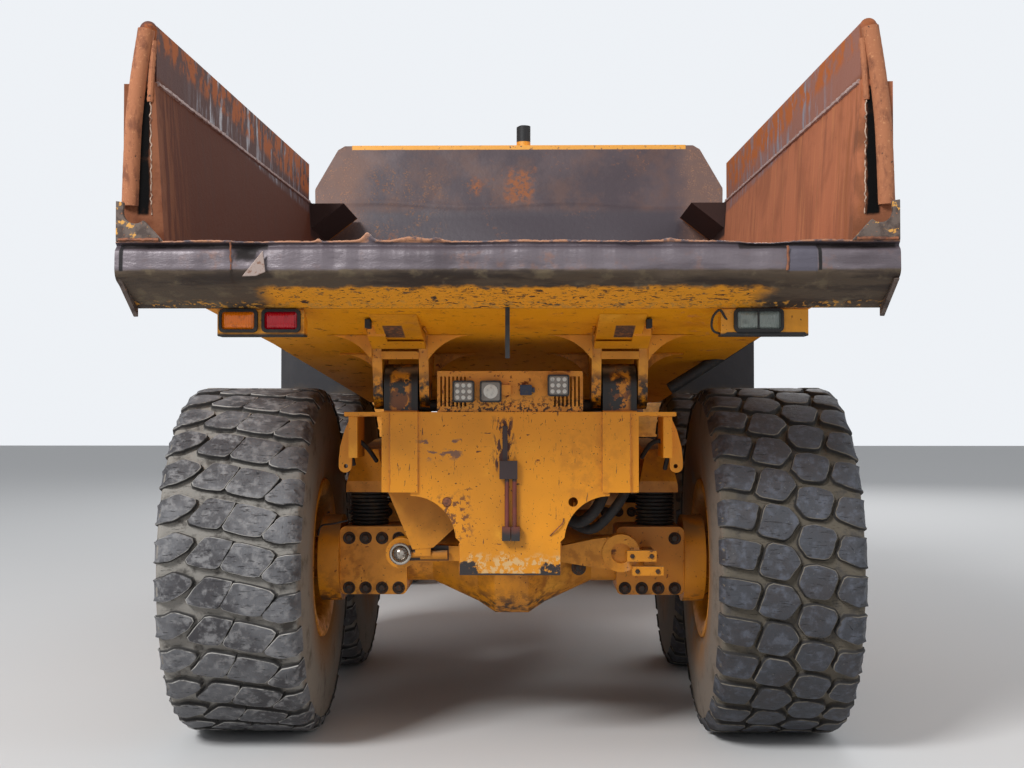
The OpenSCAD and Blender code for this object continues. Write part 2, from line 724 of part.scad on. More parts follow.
// Tractor frame: two rails, the tail that the steering pin goes through, and cross boxes
steer_base = [500, 980];
hood_pivot = [5400, 1330];
hood_tube_r = 28;
steer_eye_r = 25;
module tractor_frame() {
    t_in = t_rail_out - t_rail_w;
    color(yellow) {
        difference() {
            union() {
                bar_z(0, hitch_y, fork_foot + fork_t + 8, fork_top - fork_t - 8, 150);
                across(-150, 150) polygon([
                    [hitch_y, fork_foot + fork_t + 8], [1700, 778], [1700, fork_top - fork_t - 8],
                    [hitch_y, fork_top - fork_t - 8]
                ]);
            }
            bar_z(0, hitch_y, fork_foot, fork_top, steer_pin_r + pin_gap);
        }
        mid_block(t_in, 1700, 2050, 1180, 1430);
        mid_block(150, 1700, 1900, 778, 1180);
        both() across(t_in, t_rail_out) polygon([
            [1700, 1180], [5350, 1180], [5350, 1430], [1700, 1430]
        ]);
        for (y = [3300, 4500, 5200]) mid_block(t_in, y, y + 130, 1200, 1400);
        // Engine mounts, hangers of the bumper and arms of the tanks
        both() {
            for (y = [3400, 4400]) block([t_in, y, 1430], [t_rail_out, y + 100, 1480]);
            block([t_in, 5200, 680], [t_rail_out, 5350, 1180]);
            for (y = [3750, 4150]) block([t_rail_out, y, 1200], [480, y + 80, 1400]);
        }
        // Ears that the hood's cross tube turns in
        both() difference() {
            union() {
                bar_x(380, 420, hood_pivot[0], hood_pivot[1], 50);
                block([300, 5300, 1430], [420, 5350, 1470]);
                block([380, 5300, 1290], [420, hood_pivot[0], 1375]);
                block([339, 5300, 1290], [381, 5350, 1375]);
            }
            bar_x(379, 421, hood_pivot[0], hood_pivot[1], hood_tube_r + pin_gap);
        }
        // Outriggers over the front springs
        both() block([t_rail_out, front_axle_y - 110, seat_foot],
                     [890, front_axle_y + 110, seat_foot + 120]);
        // Posts of the cab
        both() for (y = [1750, 2850])
            block([t_in, y, 1430], [t_rail_out, y + 100, cab_floor]);
        // Ears for the steering cylinders
        both() {
            for (z = [hitch_z - 95, hitch_z + 65]) {
                bar_z(steer_base[0], hitch_y + steer_base[1], z, z + 30, 60);
                block([t_in, hitch_y + steer_base[1] - 60, z],
                      [steer_base[0], hitch_y + steer_base[1] + 60, z + 30]);
            }
            bar_z(steer_base[0], hitch_y + steer_base[1], hitch_z - 95, hitch_z + 95,
                  steer_eye_r - seat_gap);
        }
        both() block([t_in, hitch_y + steer_base[1] - 60, 905],
                     [t_in + 40, hitch_y + steer_base[1] + 60, 1180]);
    }
}

// Front axle with its rubber springs
module front_axle() {
    color(yellow) axle_housing(front_axle_y, -1);
    color(rubber) both() translate([spring_x, front_axle_y, 0])
        rubber_stack(pad_top, seat_foot, 90);
}

module engine_block() {
    color(dark) {
        mid_block(380, 3250, 4650, 1480, 2150);
        mid_block(230, 3350, 4300, 1430, 1480);
        mid_block(160, 3350, 4480, 1000, 1190);
        mid_block(225, 3480, 4400, 1190, 1430);
    }
}

module radiator() {
    color(dark) {
        mid_block(640, 4800, 4980, 1430, 2300);
        bar_y(0, 4740, 4800, 1850, 380);
    }
}

module bumper() {
    color(yellow) {
        difference() {
            intersection() {
                along(5350, nose_y) polygon([
                    [-1150, 760], [-900, 620], [900, 620], [1150, 760], [1150, 1130],
                    [-1150, 1130]
                ]);
                translate([0, 0, 600]) linear_extrude(600) polygon([
                    [-1150, 5350], [-1150, nose_y - 170], [-980, nose_y], [980, nose_y],
                    [1150, nose_y - 170], [1150, 5350]
                ]);
            }
            // Pockets of the headlamps, and the recess of the tow pin
            both() along(nose_y - lamp_depth, nose_y + 1) rounded([640, 840], [930, 1000], 35);
            along(nose_y - 90, nose_y + 1) rounded([-110, 720], [110, 900], 40);
        }
        bar_z(0, nose_y - 45, 700, 920, 24);
        mid_block(340, 4700, 5350, 640, 680);
    }
}

lamp_depth = 60;
fender_r = 1030;
fender_x1 = wheel_x + tyre_w / 2 - 6;
deck_y1 = 3600;
module fenders() {
    color(yellow) both() {
        // Arch with a turned-down outer edge
        intersection() {
            difference() {
                bar_x(1000, fender_x1, front_axle_y, tyre_r, fender_r + 30, $fn = 180);
                bar_x(999, fender_x1 - 18, front_axle_y, tyre_r, fender_r, $fn = 180);
                bar_x(999, fender_x1 + 1, front_axle_y, tyre_r, fender_r - 50, $fn = 180);
            }
            across(900, 1800) polygon([
                [front_axle_y - 1100, 1500], [front_axle_y, 1500], [front_axle_y, 1250],
                [front_axle_y + 1100, 1250], [front_axle_y + 1100, 2200],
                [front_axle_y - 1100, 2200]
            ]);
        }
        // Walkway beside the cab, and the deck over the steps
        block([cab_half, 1900, 1940], [1001, 3000, 1980]);
        translate([0, 0, 1985]) linear_extrude(35)
            rounded([1000, front_axle_y], [fender_x1, deck_y1], 60);
        along(deck_y1 - 30, deck_y1) difference() {
            rounded([1010, 1500], [fender_x1 - 60, 2000], 40);
            rounded([1100, 1600], [fender_x1 - 150, 1900], 60);
        }
    }
}

// Face of the tanks that the steps are bolted to, and the width of a tread
step_x = 1451;
step_w = 170;
module steps() {
    // Treads with slots to grip, between two bent side plates
    color(dark) both() for (z = [700, 980, 1260, 1540])
        translate([0, 0, z]) linear_extrude(35) difference() {
            rounded([step_x, 3690], [step_x + step_w, 4210], 25);
            for (i = [0 : 4])
                rounded([step_x + 35, 3730 + i * 92], [step_x + step_w - 30, 3790 + i * 92], 25);
        }
    color(yellow) both() for (y = [3660, 4200]) along(y, y + 30) polygon([
        [step_x, 640], [step_x + step_w - 40, 640], [step_x + step_w, 690],
        [step_x + step_w, 1560], [step_x + 70, 1650], [step_x, 1650]
    ]);
}

cab_y0 = 1480;
cab_y1 = 3080;
belt_z = 2500;
eave_z = 3640;
// How far the sides and the windscreen lean in from the belt to the eaves
side_lean = 60;
screen_lean = 250;
door_y0 = 1830;
door_y1 = 2700;
door_foot = 2040;
door_top = 3560;
corner_r = 130;
// The cab's body inset by a wall, open at its top where it is hollowed out
module cab_volume(inset) {
    z0 = cab_floor + inset;
    z1 = eave_z + (inset > 0 ? 10 : 0);
    half = cab_half - inset;
    intersection() {
        across(-half, half) polygon([
            [cab_y0 + inset, z0], [cab_y0 + inset, z1], [cab_y1 - screen_lean - inset, z1],
            [cab_y1 - inset, belt_z + 60], [cab_y1 - inset, z0]
        ]);
        along(cab_y0, cab_y1) polygon([
            [-half, z0], [half, z0], [half, belt_z], [half - side_lean, z1],
            [-half + side_lean, z1], [-half, belt_z]
        ]);
        translate([0, 0, z0]) linear_extrude(z1 - z0)
            rounded([-half, cab_y0 + inset], [half, cab_y1 - inset], corner_r - inset);
    }
}
// Outlines of the side windows, the rear window and the windscreen
module side_window() {
    rounded([1930, 2330], [2620, 3500], 70);
}
module front_corner_window() {
    difference() {
        rounded([2740, 2440], [3010, 3500], 50);
        polygon([[2740 + 270, 2520], [3100, 2400], [3100, 3600], [2740, 3600], [2760, 3480]]);
    }
}
module rear_window() {
    rounded([-720, 2480], [720, 3500], 80);
}
module screen_window() {
    rounded([-800, 2600], [800, 3540], 80);
}
module cab_shell() {
    color(yellow) difference() {
        cab_volume(0);
        cab_volume(cab_wall);
        across(-cab_half - 1, 0) rounded([door_y0, door_foot], [door_y1, door_top], 60);
        across(0, cab_half + 1) side_window();
        across(-cab_half - 1, cab_half + 1) front_corner_window();
        along(cab_y0 - 1, cab_y0 + cab_wall + 1) rear_window();
        along(2700, cab_y1 + 1) screen_window();
    }
    // Hinge pins of the door, between two straps each
    color(yellow) for (z = door_hinge_z) {
        bar_z(door_pin[0], door_pin[1], z, z + 100, door_pin_r);
        for (dz = [0, 85])
            block([door_pin[0] - 15, 1750, z + dz],
                  [-cab_half + side_lean + 20, door_pin[1] + 7, z + dz + 15]);
    }
}
roof_y1 = 3030;
module cab_roof() {
    color(yellow) intersection() {
        across(-cab_half - 10, cab_half + 10) polygon([
            [cab_y0 - 20, eave_z], [cab_y0 - 20, 3690], [cab_y0 + 90, cab_top], [2900, cab_top],
            [roof_y1, 3715], [roof_y1, eave_z]
        ]);
        along(cab_y0 - 30, 3040) rounded([-cab_half - 5, eave_z - 100], [cab_half + 5, cab_top], 75);
        translate([0, 0, eave_z]) linear_extrude(200)
            rounded([-cab_half - 5, cab_y0 - 20], [cab_half + 5, roof_y1], 110);
    }
}
// Panes between the two faces of the wall
module cab_glass() {
    color(glass) {
        for (side = [[0, cab_half + 1], [-cab_half - 1, 0]]) intersection() {
            cab_pane();
            across(side[0], side[1]) {
                front_corner_window();
                if (side[0] == 0) side_window();
            }
        }
        intersection() {
            cab_pane();
            along(cab_y0 - 1, cab_y0 + cab_wall + 1) rear_window();
        }
        intersection() {
            cab_pane();
            along(2700, cab_y1 + 1) screen_window();
        }
    }
}
module cab_pane() {
    difference() {
        cab_volume(cab_wall / 2 - 5);
        cab_volume(cab_wall / 2 + 5);
        translate([0, 0, eave_z - 20]) mid_block(cab_half, cab_y0, cab_y1, 0, 60);
    }
}
module cab_interior() {
    color(dark) {
        // Seat on its pedestal
        mid_block(170, 1990, 2330, cab_floor + cab_wall, 2300);
        across(-260, 260) polygon([
            [1930, 2300], [2420, 2300], [2440, 2400], [2080, 2410], [2010, 3060], [1900, 3080],
            [1920, 2340]
        ]);
        across(-120, 120) rounded([1895, 3070], [1985, 3230], 30);
        // Dashboard and steering wheel
        across(-620, 620) polygon([
            [3010, cab_floor + cab_wall], [3010, 2560], [2900, 2590], [2740, 2520],
            [2800, cab_floor + cab_wall]
        ]);
        translate([0, 2560, 2640]) rotate([35, 0, 0]) {
            rotate_extrude() translate([200, 0]) circle(16);
            for (a = [0, 120, 240]) rotate([0, 0, a + 30]) translate([0, -16, -8]) cube([200, 32, 16]);
            translate([0, 0, -365]) cylinder(h = 367, r = 34);
        }
    }
}
exhaust_at = [1120, 1640];
module exhaust() {
    color(dark) {
        // Silencer, pipe and its tip, which leans back
        bar_z(exhaust_at[0], exhaust_at[1], 1900, 2750, 105);
        bar_z(exhaust_at[0], exhaust_at[1], 1700, 3450, 62);
        tube([[exhaust_at[0], exhaust_at[1], 3400], [exhaust_at[0], exhaust_at[1], 3450],
              [exhaust_at[0], exhaust_at[1] - 70, 3620]], 62);
        for (z = [2000, 2600])
            block([cab_half, exhaust_at[1] - 30, z], [exhaust_at[0], exhaust_at[1] + 30, z + 60]);
        // Air cleaner on the other side
        bar_z(-exhaust_at[0], exhaust_at[1], 2050, 2700, 150);
        bar_z(-exhaust_at[0], exhaust_at[1], 2700, 2900, 60);
        bar_z(-exhaust_at[0], exhaust_at[1], 2880, 2990, 110);
        block([-exhaust_at[0], exhaust_at[1] - 30, 2100], [-cab_half, exhaust_at[1] + 30, 2160]);
    }
}
deck_top = 2020 + face_gap;
module rails_and_mirrors() {
    color(dark) both() {
        // Hand rail round the deck, its middle bar, and the mirror on its post
        tube([[1680, 2700, deck_top], [1680, 2700, 2960], [1680, 3560, 2960],
              [1680, 3560, deck_top]], 21);
        tube([[1680, 2700, 2500], [1680, 3560, 2500]], 18);
        tube([[1060, 3500, deck_top], [1060, 3500, 2990], [1250, 3500, 2990]], 18);
        along(3474, 3526) rounded([1190, 2650], [1430, 3090], 50);
    }
}
module tanks() {
    color(yellow) both() {
        across(480, step_x) rounded([3620, 850], [4350, 1650], 90);
        for (y = [3760, 4180]) across(480, step_x - 60) rounded([y, 842], [y + 60, 1658], 20);
        bar_z(1200, 4100, 1649, 1700, 70);
    }
}
module tractor_lamps() {
    y0 = nose_y - lamp_depth + face_gap;
    color(glass) both() for (x = [655, 795]) along(y0, y0 + 40) rounded([x, 855], [x + 120, 985], 25);
    // Work lamps under the roof's visor
    color(glass) both() for (x = [480, 720]) along(roof_y1 + face_gap, roof_y1 + 50)
        rounded([x, eave_z + 3], [x + 130, eave_z + 93], 20);
}

hood_y0 = 3110;
hood_half = 960;
hood_top = 2760;
hood_nose = 5500;
hood_slope = 9;
slot_y0 = 3900;
slot_pitch = 110;
slot_w = 60;
slots = 6;
// The plan starts to narrow midway between the last two slots
hood_taper_y = slot_y0 + (slots - 1) * slot_pitch - (slot_pitch - slot_w) / 2;
// The hood's volume inset by a wall: a round-shouldered prism that slopes to the nose, cut by
// the side outline and by the plan, which narrows towards the nose
module hood_volume(inset) {
    half = hood_half - inset;
    lift = inset > 0 ? -1 : 0;
    intersection() {
        translate([0, hood_y0 + lift, hood_top - inset]) rotate([-hood_slope, 0, 0])
            along(-500, 2800) rounded([-half, -1800], [half, 0], 200 - inset);
        across(-half, half) difference() {
            polygon([
                [hood_y0 + lift, 900], [hood_y0 + lift, hood_top + 60], [5100, hood_top],
                [5330 - inset, 2380], [hood_nose - 40 - inset, 2120], [hood_nose - inset, 1300 + lift * 200]
            ]);
            if (inset == 0) polygon([
                [hood_y0 - 1, 899], [hood_y0 - 1, 2080], [3700, 2080], [4450, 1700], [5100, 1300],
                [hood_nose + 1, 1300], [hood_nose + 1, 899]
            ]);
        }
        translate([0, 0, 900]) linear_extrude(2000) intersection() {
            polygon([
                [-half, hood_y0 + lift], [half, hood_y0 + lift], [half, hood_taper_y],
                [half - 130, hood_nose], [-half + 130, hood_nose], [-half, hood_taper_y]
            ]);
            rounded([-half, hood_y0 - 400], [half, hood_nose - inset], 260 - inset);
        }
    }
}
module hood() {
    color(yellow) difference() {
        hood_volume(0);
        hood_volume(hood_wall);
        along(5200, 5600) rounded([-grille_half, grille_z0], [grille_half, grille_z1], grille_r);
        // Slots that let the hot air out of the sides
        for (i = [0 : slots - 1]) let (y0 = slot_y0 + i * slot_pitch) across(-hood_half - 1, hood_half + 1)
            rounded([y0, 2180], [y0 + slot_w, 2420], 25);
    }
    color(yellow) bar_x(-hood_half + hood_wall - 1, hood_half - hood_wall + 1, hood_pivot[0],
                        hood_pivot[1], hood_tube_r);
}
grille_half = 560;
grille_z0 = 1450;
grille_z1 = 2050;
grille_r = 80;
grille_y = hood_nose - 70;
module grille() {
    gap = seat_gap;
    color(dark) {
        along(grille_y, grille_y + 25) difference() {
            rounded([-grille_half + gap, grille_z0 + gap], [grille_half - gap, grille_z1 - gap], grille_r);
            rounded([-grille_half + 45, grille_z0 + 45], [grille_half - 45, grille_z1 - 45], grille_r - 40);
        }
        for (i = [0 : 6]) let (z = grille_z0 + 70 + i * 73)
            mid_block(grille_half - 40, grille_y + 3, grille_y + 22, z, z + 30);
        for (x = [-250, 0, 250])
            block([x - 14, grille_y - 14, grille_z0 + 40], [x + 14, grille_y + 4, grille_z1 - 40]);
    }
}

door_gap = 12;
door_pin = [-959, 1822];
door_pin_r = 9;
door_knuckle_r = 17;
door_hinge_z = [door_foot + 110, door_top - 210];
module cab_door() {
    color(yellow) difference() {
        intersection() {
            difference() {
                cab_volume(0);
                cab_volume(cab_wall);
            }
            across(-cab_half - 1, 0)
                rounded([door_y0 + door_gap, door_foot + door_gap],
                        [door_y1 - door_gap, door_top - door_gap], 52);
        }
        across(-cab_half - 1, 0) door_window();
    }
    // Knuckles that turn on the cab's hinge pins
    color(yellow) for (z = door_hinge_z) difference() {
        union() {
            bar_z(door_pin[0], door_pin[1], z + 20, z + 80, door_knuckle_r);
            block([door_pin[0] - 6, door_pin[1], z + 20], [door_pin[0] + 6, door_y0 + 60, z + 80]);
            block([door_pin[0] - 6, door_y0 + 30, z + 20],
                  [-cab_half + side_lean + 15, door_y0 + 60, z + 80]);
        }
        bar_z(door_pin[0], door_pin[1], z, z + 100, door_pin_r + pin_gap);
    }
    // Handle
    color(dark) tube([[-cab_half + 5, 2600, 2250], [-cab_half - 35, 2600, 2250],
                      [-cab_half - 35, 2600, 2130], [-cab_half + 5, 2600, 2130]], 10);
}
module door_window() {
    rounded([door_y0 + 90, 2330], [door_y1 - 90, 3470], 70);
}
module door_glass() {
    color(glass) intersection() {
        cab_pane();
        across(-cab_half - 1, 0) door_window();
    }
}

// Wheel: a tyre of half section (X, R), and a rim with its disc and hub drum
bead_r = rim_d / 2;
bead_x = 200;
carcass_r = tyre_r - groove;
tyre_half = [
    [bead_x, bead_r + seat_gap], [bead_x, bead_r + 32], [tyre_w / 2 - 75, bead_r + 85],
    [tyre_w / 2 - 14, 530], [tyre_w / 2, 640], [tyre_w / 2 - 6, 770], [tyre_w / 2 - 17, 860],
    [tyre_w / 2 - 27, carcass_r]
];
// Lugs as outlines of [around, across], in rows and in halves of the tread's width. The first
// table has a wide middle lug, the second has four columns of hexagons.
lug_step = 2 * PI * tyre_r / lug_rows;
tread_half = tyre_w / 2 - 28;
wide_lugs = [
    [[-0.10, -1.0], [0.58, -1.0], [0.72, -0.78], [0.42, -0.55], [-0.02, -0.60]],
    [[0.02, -0.55], [0.50, -0.52], [0.70, -0.20], [0.86, 0.52], [0.42, 0.60], [0.20, 0.05]],
    [[0.40, 0.66], [0.92, 0.60], [1.04, 1.0], [0.34, 1.0]]
];
block_lugs = [
    [[-0.14, -1.0], [0.50, -1.0], [0.62, -0.58], [0.04, -0.52]],
    [[-0.04, -0.46], [0.56, -0.52], [0.70, -0.22], [0.40, 0.0], [-0.14, -0.08]],
    [[0.04, 0.06], [0.46, -0.02], [0.86, 0.10], [0.78, 0.48], [0.14, 0.50], [-0.10, 0.30]],
    [[0.02, 0.58], [0.66, 0.54], [0.72, 1.0], [0.0, 1.0]]
];
module on_axle(x, y) {
    translate([x, y, tyre_r]) rotate([0, 90, 0]) children();
}
module tyre(side, y) {
    color(rubber) on_axle(side * wheel_x, y) {
        rotate_extrude() polygon(concat(
            [for (p = tyre_half) [p[1], p[0]]],
            [for (i = [len(tyre_half) - 1 : -1 : 0]) [tyre_half[i][1], -tyre_half[i][0]]]
        ));
        // Each lug is flat on top, with its far corners on the tyre's outer radius
        for (i = [0 : lug_rows - 1], lug = side < 0 ? wide_lugs : block_lugs) {
            around = [for (p = lug) p[0]];
            mid = (min(around) + max(around)) / 2;
            top = sqrt(pow(tyre_r, 2) - pow((max(around) - mid) * lug_step, 2));
            rotate([0, 0, (i + mid) * 360 / lug_rows]) rotate([90, 0, 90])
                translate([0, 0, carcass_r - 30]) linear_extrude(top - carcass_r + 30)
                    polygon([for (p = lug) [(p[0] - mid) * lug_step, p[1] * tread_half]]);
        }
    }
}
module rim(side, y) {
    lip = bead_x + 1;
    color(yellow) translate([side * wheel_x, y, tyre_r]) rotate([0, 90 * side, 0])
        rotate_extrude() polygon([
            [spindle_r + seat_gap, -20], [spindle_r + seat_gap, 45], [140, 60], [140, 190],
            [185, 225], [225, 225], [225, 105], [bead_r - 30, 85],
            [bead_r - 25, lip - 12], [bead_r + 30, lip + 19], [bead_r + 30, lip], [bead_r, lip],
            [bead_r, -lip], [bead_r + 30, -lip], [bead_r + 30, -lip - 19], [bead_r - 25, -lip + 12],
            [bead_r - 30, 45], [240, 40], [240, -20]
        ]);
}

// Cylinders: barrels and rods, drawn along the line between their two pins
hoist_len = norm(hoist_head - hoist_foot);
hoist_angle = atan2(hoist_head[1] - hoist_foot[1], hoist_head[0] - hoist_foot[0]);
hoist_barrel_len = 2230;
module hoist_frame() {
    translate([hoist_x, hoist_foot[0], hoist_foot[1]]) rotate([hoist_angle, 0, 0]) children();
}
module hoist_barrels() {
    color(yellow) both() hoist_frame() difference() {
        union() {
            bar_x(-hoist_eye_w / 2, hoist_eye_w / 2, 0, 0, 75);
            bar_y(0, 30, 100, 0, 44);
            bar_y(0, 95, hoist_barrel_len, 0, hoist_r);
        }
        bar_x(-hoist_eye_w, hoist_eye_w, 0, 0, hoist_pin_r + seat_gap);
        bar_y(0, 140, hoist_barrel_len + 1, 0, hoist_rod_r + rod_gap);
    }
}
module hoist_rods() {
    color("silver") both() hoist_frame() difference() {
        union() {
            bar_x(-hoist_eye_w / 2, hoist_eye_w / 2, hoist_len, 0, 65);
            bar_y(0, 145, hoist_len - 170, 0, hoist_rod_r);
            bar_y(0, hoist_len - 171, hoist_len - 45, 0, 44);
        }
        bar_x(-hoist_eye_w, hoist_eye_w, hoist_len, 0, hoist_pin_r);
    }
}

steer_len = norm([steer_base[0] - steer_eye[0], steer_base[1] - steer_eye[1]]);
steer_angle = atan2(steer_eye[1] - steer_base[1], steer_eye[0] - steer_base[0]);
steer_barrel_len = 700;
module steer_frame(s) {
    translate([s * steer_base[0], hitch_y + steer_base[1], hitch_z])
        rotate([0, 0, s > 0 ? steer_angle : 180 - steer_angle]) rotate([0, 0, -90]) children();
}
module steer_barrel(s) {
    color(yellow) steer_frame(s) difference() {
        union() {
            bar_z(0, 0, -60, 60, 55);
            bar_y(0, 40, steer_barrel_len, 0, steer_r - 5);
        }
        bar_z(0, 0, -70, 70, steer_eye_r);
        bar_y(0, 90, steer_barrel_len + 1, 0, steer_rod_r + rod_gap);
    }
}
module steer_rod(s) {
    color("silver") steer_frame(s) difference() {
        union() {
            bar_z(0, steer_len, -50, 50, 50);
            bar_y(0, 355, steer_len - 20, 0, steer_rod_r);
        }
        bar_z(0, steer_len, -70, 70, steer_eye_r);
    }
}

rear_frame();
bogie_beams();
bogie_axles();
torque_rods();
rubber_springs();
drive_shafts();
rear_panel();
tow_pin();
body_tub();
headboard();
side_bands();
tail_lip();
hinge_brackets();
lamp_boxes();
mudflaps();
hitch_yoke();
tractor_frame();
front_axle();
engine_block();
radiator();
bumper();
fenders();
steps();
cab_shell();
cab_roof();
cab_glass();
cab_interior();
exhaust();
rails_and_mirrors();
tanks();
tractor_lamps();
hood();
grille();
cab_door();
door_glass();
tyre(-1, front_axle_y);  // tyre_front_left
rim(-1, front_axle_y);  // rim_front_left
tyre(1, front_axle_y);  // tyre_front_right
rim(1, front_axle_y);  // rim_front_right
tyre(-1, mid_y);  // tyre_mid_left
rim(-1, mid_y);  // rim_mid_left
tyre(1, mid_y);  // tyre_mid_right
rim(1, mid_y);  // rim_mid_right
tyre(-1, rear_y);  // tyre_rear_left
rim(-1, rear_y);  // rim_rear_left
tyre(1, rear_y);  // tyre_rear_right
rim(1, rear_y);  // rim_rear_right
hoist_barrels();
hoist_rods();
steer_barrel(-1);  // steer_barrel_left
steer_rod(-1);  // steer_rod_left
steer_barrel(1);  // steer_barrel_right
steer_rod(1);  // steer_rod_right
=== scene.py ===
"""Articulated dump truck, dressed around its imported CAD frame. All in metres, with +Y to the nose
and +X to the right."""
import math

import bpy
import numpy as np
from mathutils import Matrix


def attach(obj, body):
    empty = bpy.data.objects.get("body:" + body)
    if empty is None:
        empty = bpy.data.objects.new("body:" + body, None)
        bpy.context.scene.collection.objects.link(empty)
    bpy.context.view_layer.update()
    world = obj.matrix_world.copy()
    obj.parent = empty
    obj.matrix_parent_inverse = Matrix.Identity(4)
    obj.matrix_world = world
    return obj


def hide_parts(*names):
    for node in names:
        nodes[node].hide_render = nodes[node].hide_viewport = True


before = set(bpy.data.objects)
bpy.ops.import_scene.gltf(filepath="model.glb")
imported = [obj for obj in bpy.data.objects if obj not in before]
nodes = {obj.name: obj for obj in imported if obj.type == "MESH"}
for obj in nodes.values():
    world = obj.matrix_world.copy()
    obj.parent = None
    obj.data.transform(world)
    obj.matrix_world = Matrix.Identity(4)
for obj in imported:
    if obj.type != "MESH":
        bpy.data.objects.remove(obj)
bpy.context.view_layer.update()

# Camera: stands behind the tail at eye height, a little right of the truck's middle, and looks
# along it, pitched up by about a degree.
camera_at = (0.11, -11.38, 1.73)
photo_width = 1024
focal_px = 1347
vanish_x = 532
horizon_y = 413
photo_middle = (512, 384)
camera_data = bpy.data.cameras.new("camera")
camera_data.sensor_width = 36
camera_data.lens = focal_px / photo_width * camera_data.sensor_width
camera_data.clip_end = 200
camera = bpy.data.objects.new("camera", camera_data)
bpy.context.scene.collection.objects.link(camera)
bpy.context.scene.camera = camera
camera.location = camera_at
camera.rotation_euler = (
    math.radians(90) + math.atan((horizon_y - photo_middle[1]) / focal_px),
    0,
    math.atan((vanish_x - photo_middle[0]) / focal_px),
)

# Studio: a pale floor, a pale sky that looks brighter than the light it gives, a soft key behind
# the tail on the left, a weak fill on the right and one in front.
floor_size = 120
sky_light = 0.42
sky_seen = 0.92
lamp_aim_z = 1.5


def new_material(name):
    """An empty node material: the material, its tree and its Principled shader."""
    material = bpy.data.materials.new(name)
    material.use_nodes = True
    tree = material.node_tree
    return material, tree, tree.nodes["Principled BSDF"]


floor_mesh = bpy.data.meshes.new("floor")
half = floor_size / 2
floor_mesh.from_pydata([(-half, -half, 0), (half, -half, 0), (half, half, 0), (-half, half, 0)],
                       [], [(0, 1, 2, 3)])
floor = bpy.data.objects.new("floor", floor_mesh)
bpy.context.scene.collection.objects.link(floor)
floor_material, _, floor_shader = new_material("floor_paint")
floor_shader.inputs["Base Color"].default_value = (0.60, 0.60, 0.60, 1)
floor_shader.inputs["Roughness"].default_value = 0.85
floor.data.materials.append(floor_material)

world = bpy.data.worlds.new("studio")
bpy.context.scene.world = world
world.use_nodes = True
sky = world.node_tree
light_path = sky.nodes.new("ShaderNodeLightPath")
seen = light_path.outputs["Is Camera Ray"]
for ray in ("Is Glossy Ray", "Is Transmission Ray"):
    either = sky.nodes.new("ShaderNodeMath")
    either.operation = "MAXIMUM"
    sky.links.new(seen, either.inputs[0])
    sky.links.new(light_path.outputs[ray], either.inputs[1])
    seen = either.outputs[0]
strength = sky.nodes.new("ShaderNodeMix")
sky.links.new(seen, strength.inputs[0])
strength.inputs[2].default_value = sky_light
strength.inputs[3].default_value = sky_seen
sky.links.new(strength.outputs[0], sky.nodes["Background"].inputs["Strength"])
sky.nodes["Background"].inputs["Color"].default_value = (0.93, 0.96, 1.0, 1)

for name, place, size, power in [("key", (-9, -16, 13), 5, 3300), ("fill", (12, -9, 7), 8, 380),
                                 ("front", (5, 16, 12), 9, 1100)]:
    lamp_data = bpy.data.lights.new(name, "AREA")
    lamp_data.size = size
    lamp_data.energy = power
    lamp = bpy.data.objects.new(name, lamp_data)
    bpy.context.scene.collection.objects.link(lamp)
    lamp.location = place
    lamp.rotation_euler = (
        math.atan2(math.hypot(place[0], place[1]), place[2] - lamp_aim_z),
        0,
        math.atan2(place[0], -place[1]),
    )

# Tyres: wide earthmover tyres, worn and dusty. The left ones have a split middle lug between two
# shoulder lugs, the right ones four columns of blocks. Each is moulded in one: a carcass turned
# round the axle, with its lugs standing on the crown and bent down over the shoulders.
tyre_r = 0.935
axle_z = tyre_r
axle_ys = {"front": 2.531, "mid": -1.987, "rear": -3.927}
wheel_x = 1.381
crown_r = 0.901
lug_rise = 0.033
lug_rows = 30
crown_half = 0.318
shoulder_r = 0.030
tread_half = 0.337
# The side of the tyre from the shoulder to the rim's flange, as (x, r)
tyre_side = [(0.348, 0.862), (0.356, 0.80), (0.362, 0.72), (0.3645, 0.64), (0.3635, 0.56),
             (0.358, 0.50), (0.348, 0.455), (0.334, 0.428), (0.30, 0.40), (0.25, 0.372),
             (0.2, 0.355)]
# Raised rings on that side, as (r, how proud, width)
mould_rings = [(0.79, 0.0030, 0.006), (0.47, 0.0035, 0.010)]
# Rings of a lug from its foot up: how far inside its outline, how high, and the share of worn top
lug_rings = [(-0.014, -0.15, 0.0), (-0.011, 0.25, 0.25), (-0.0055, 0.90, 0.62),
             (-0.0035, 0.985, 0.75), (0.0, 1.0, 0.86), (0.030, 1.0, 1.0), (0.066, 0.985, 1.0)]
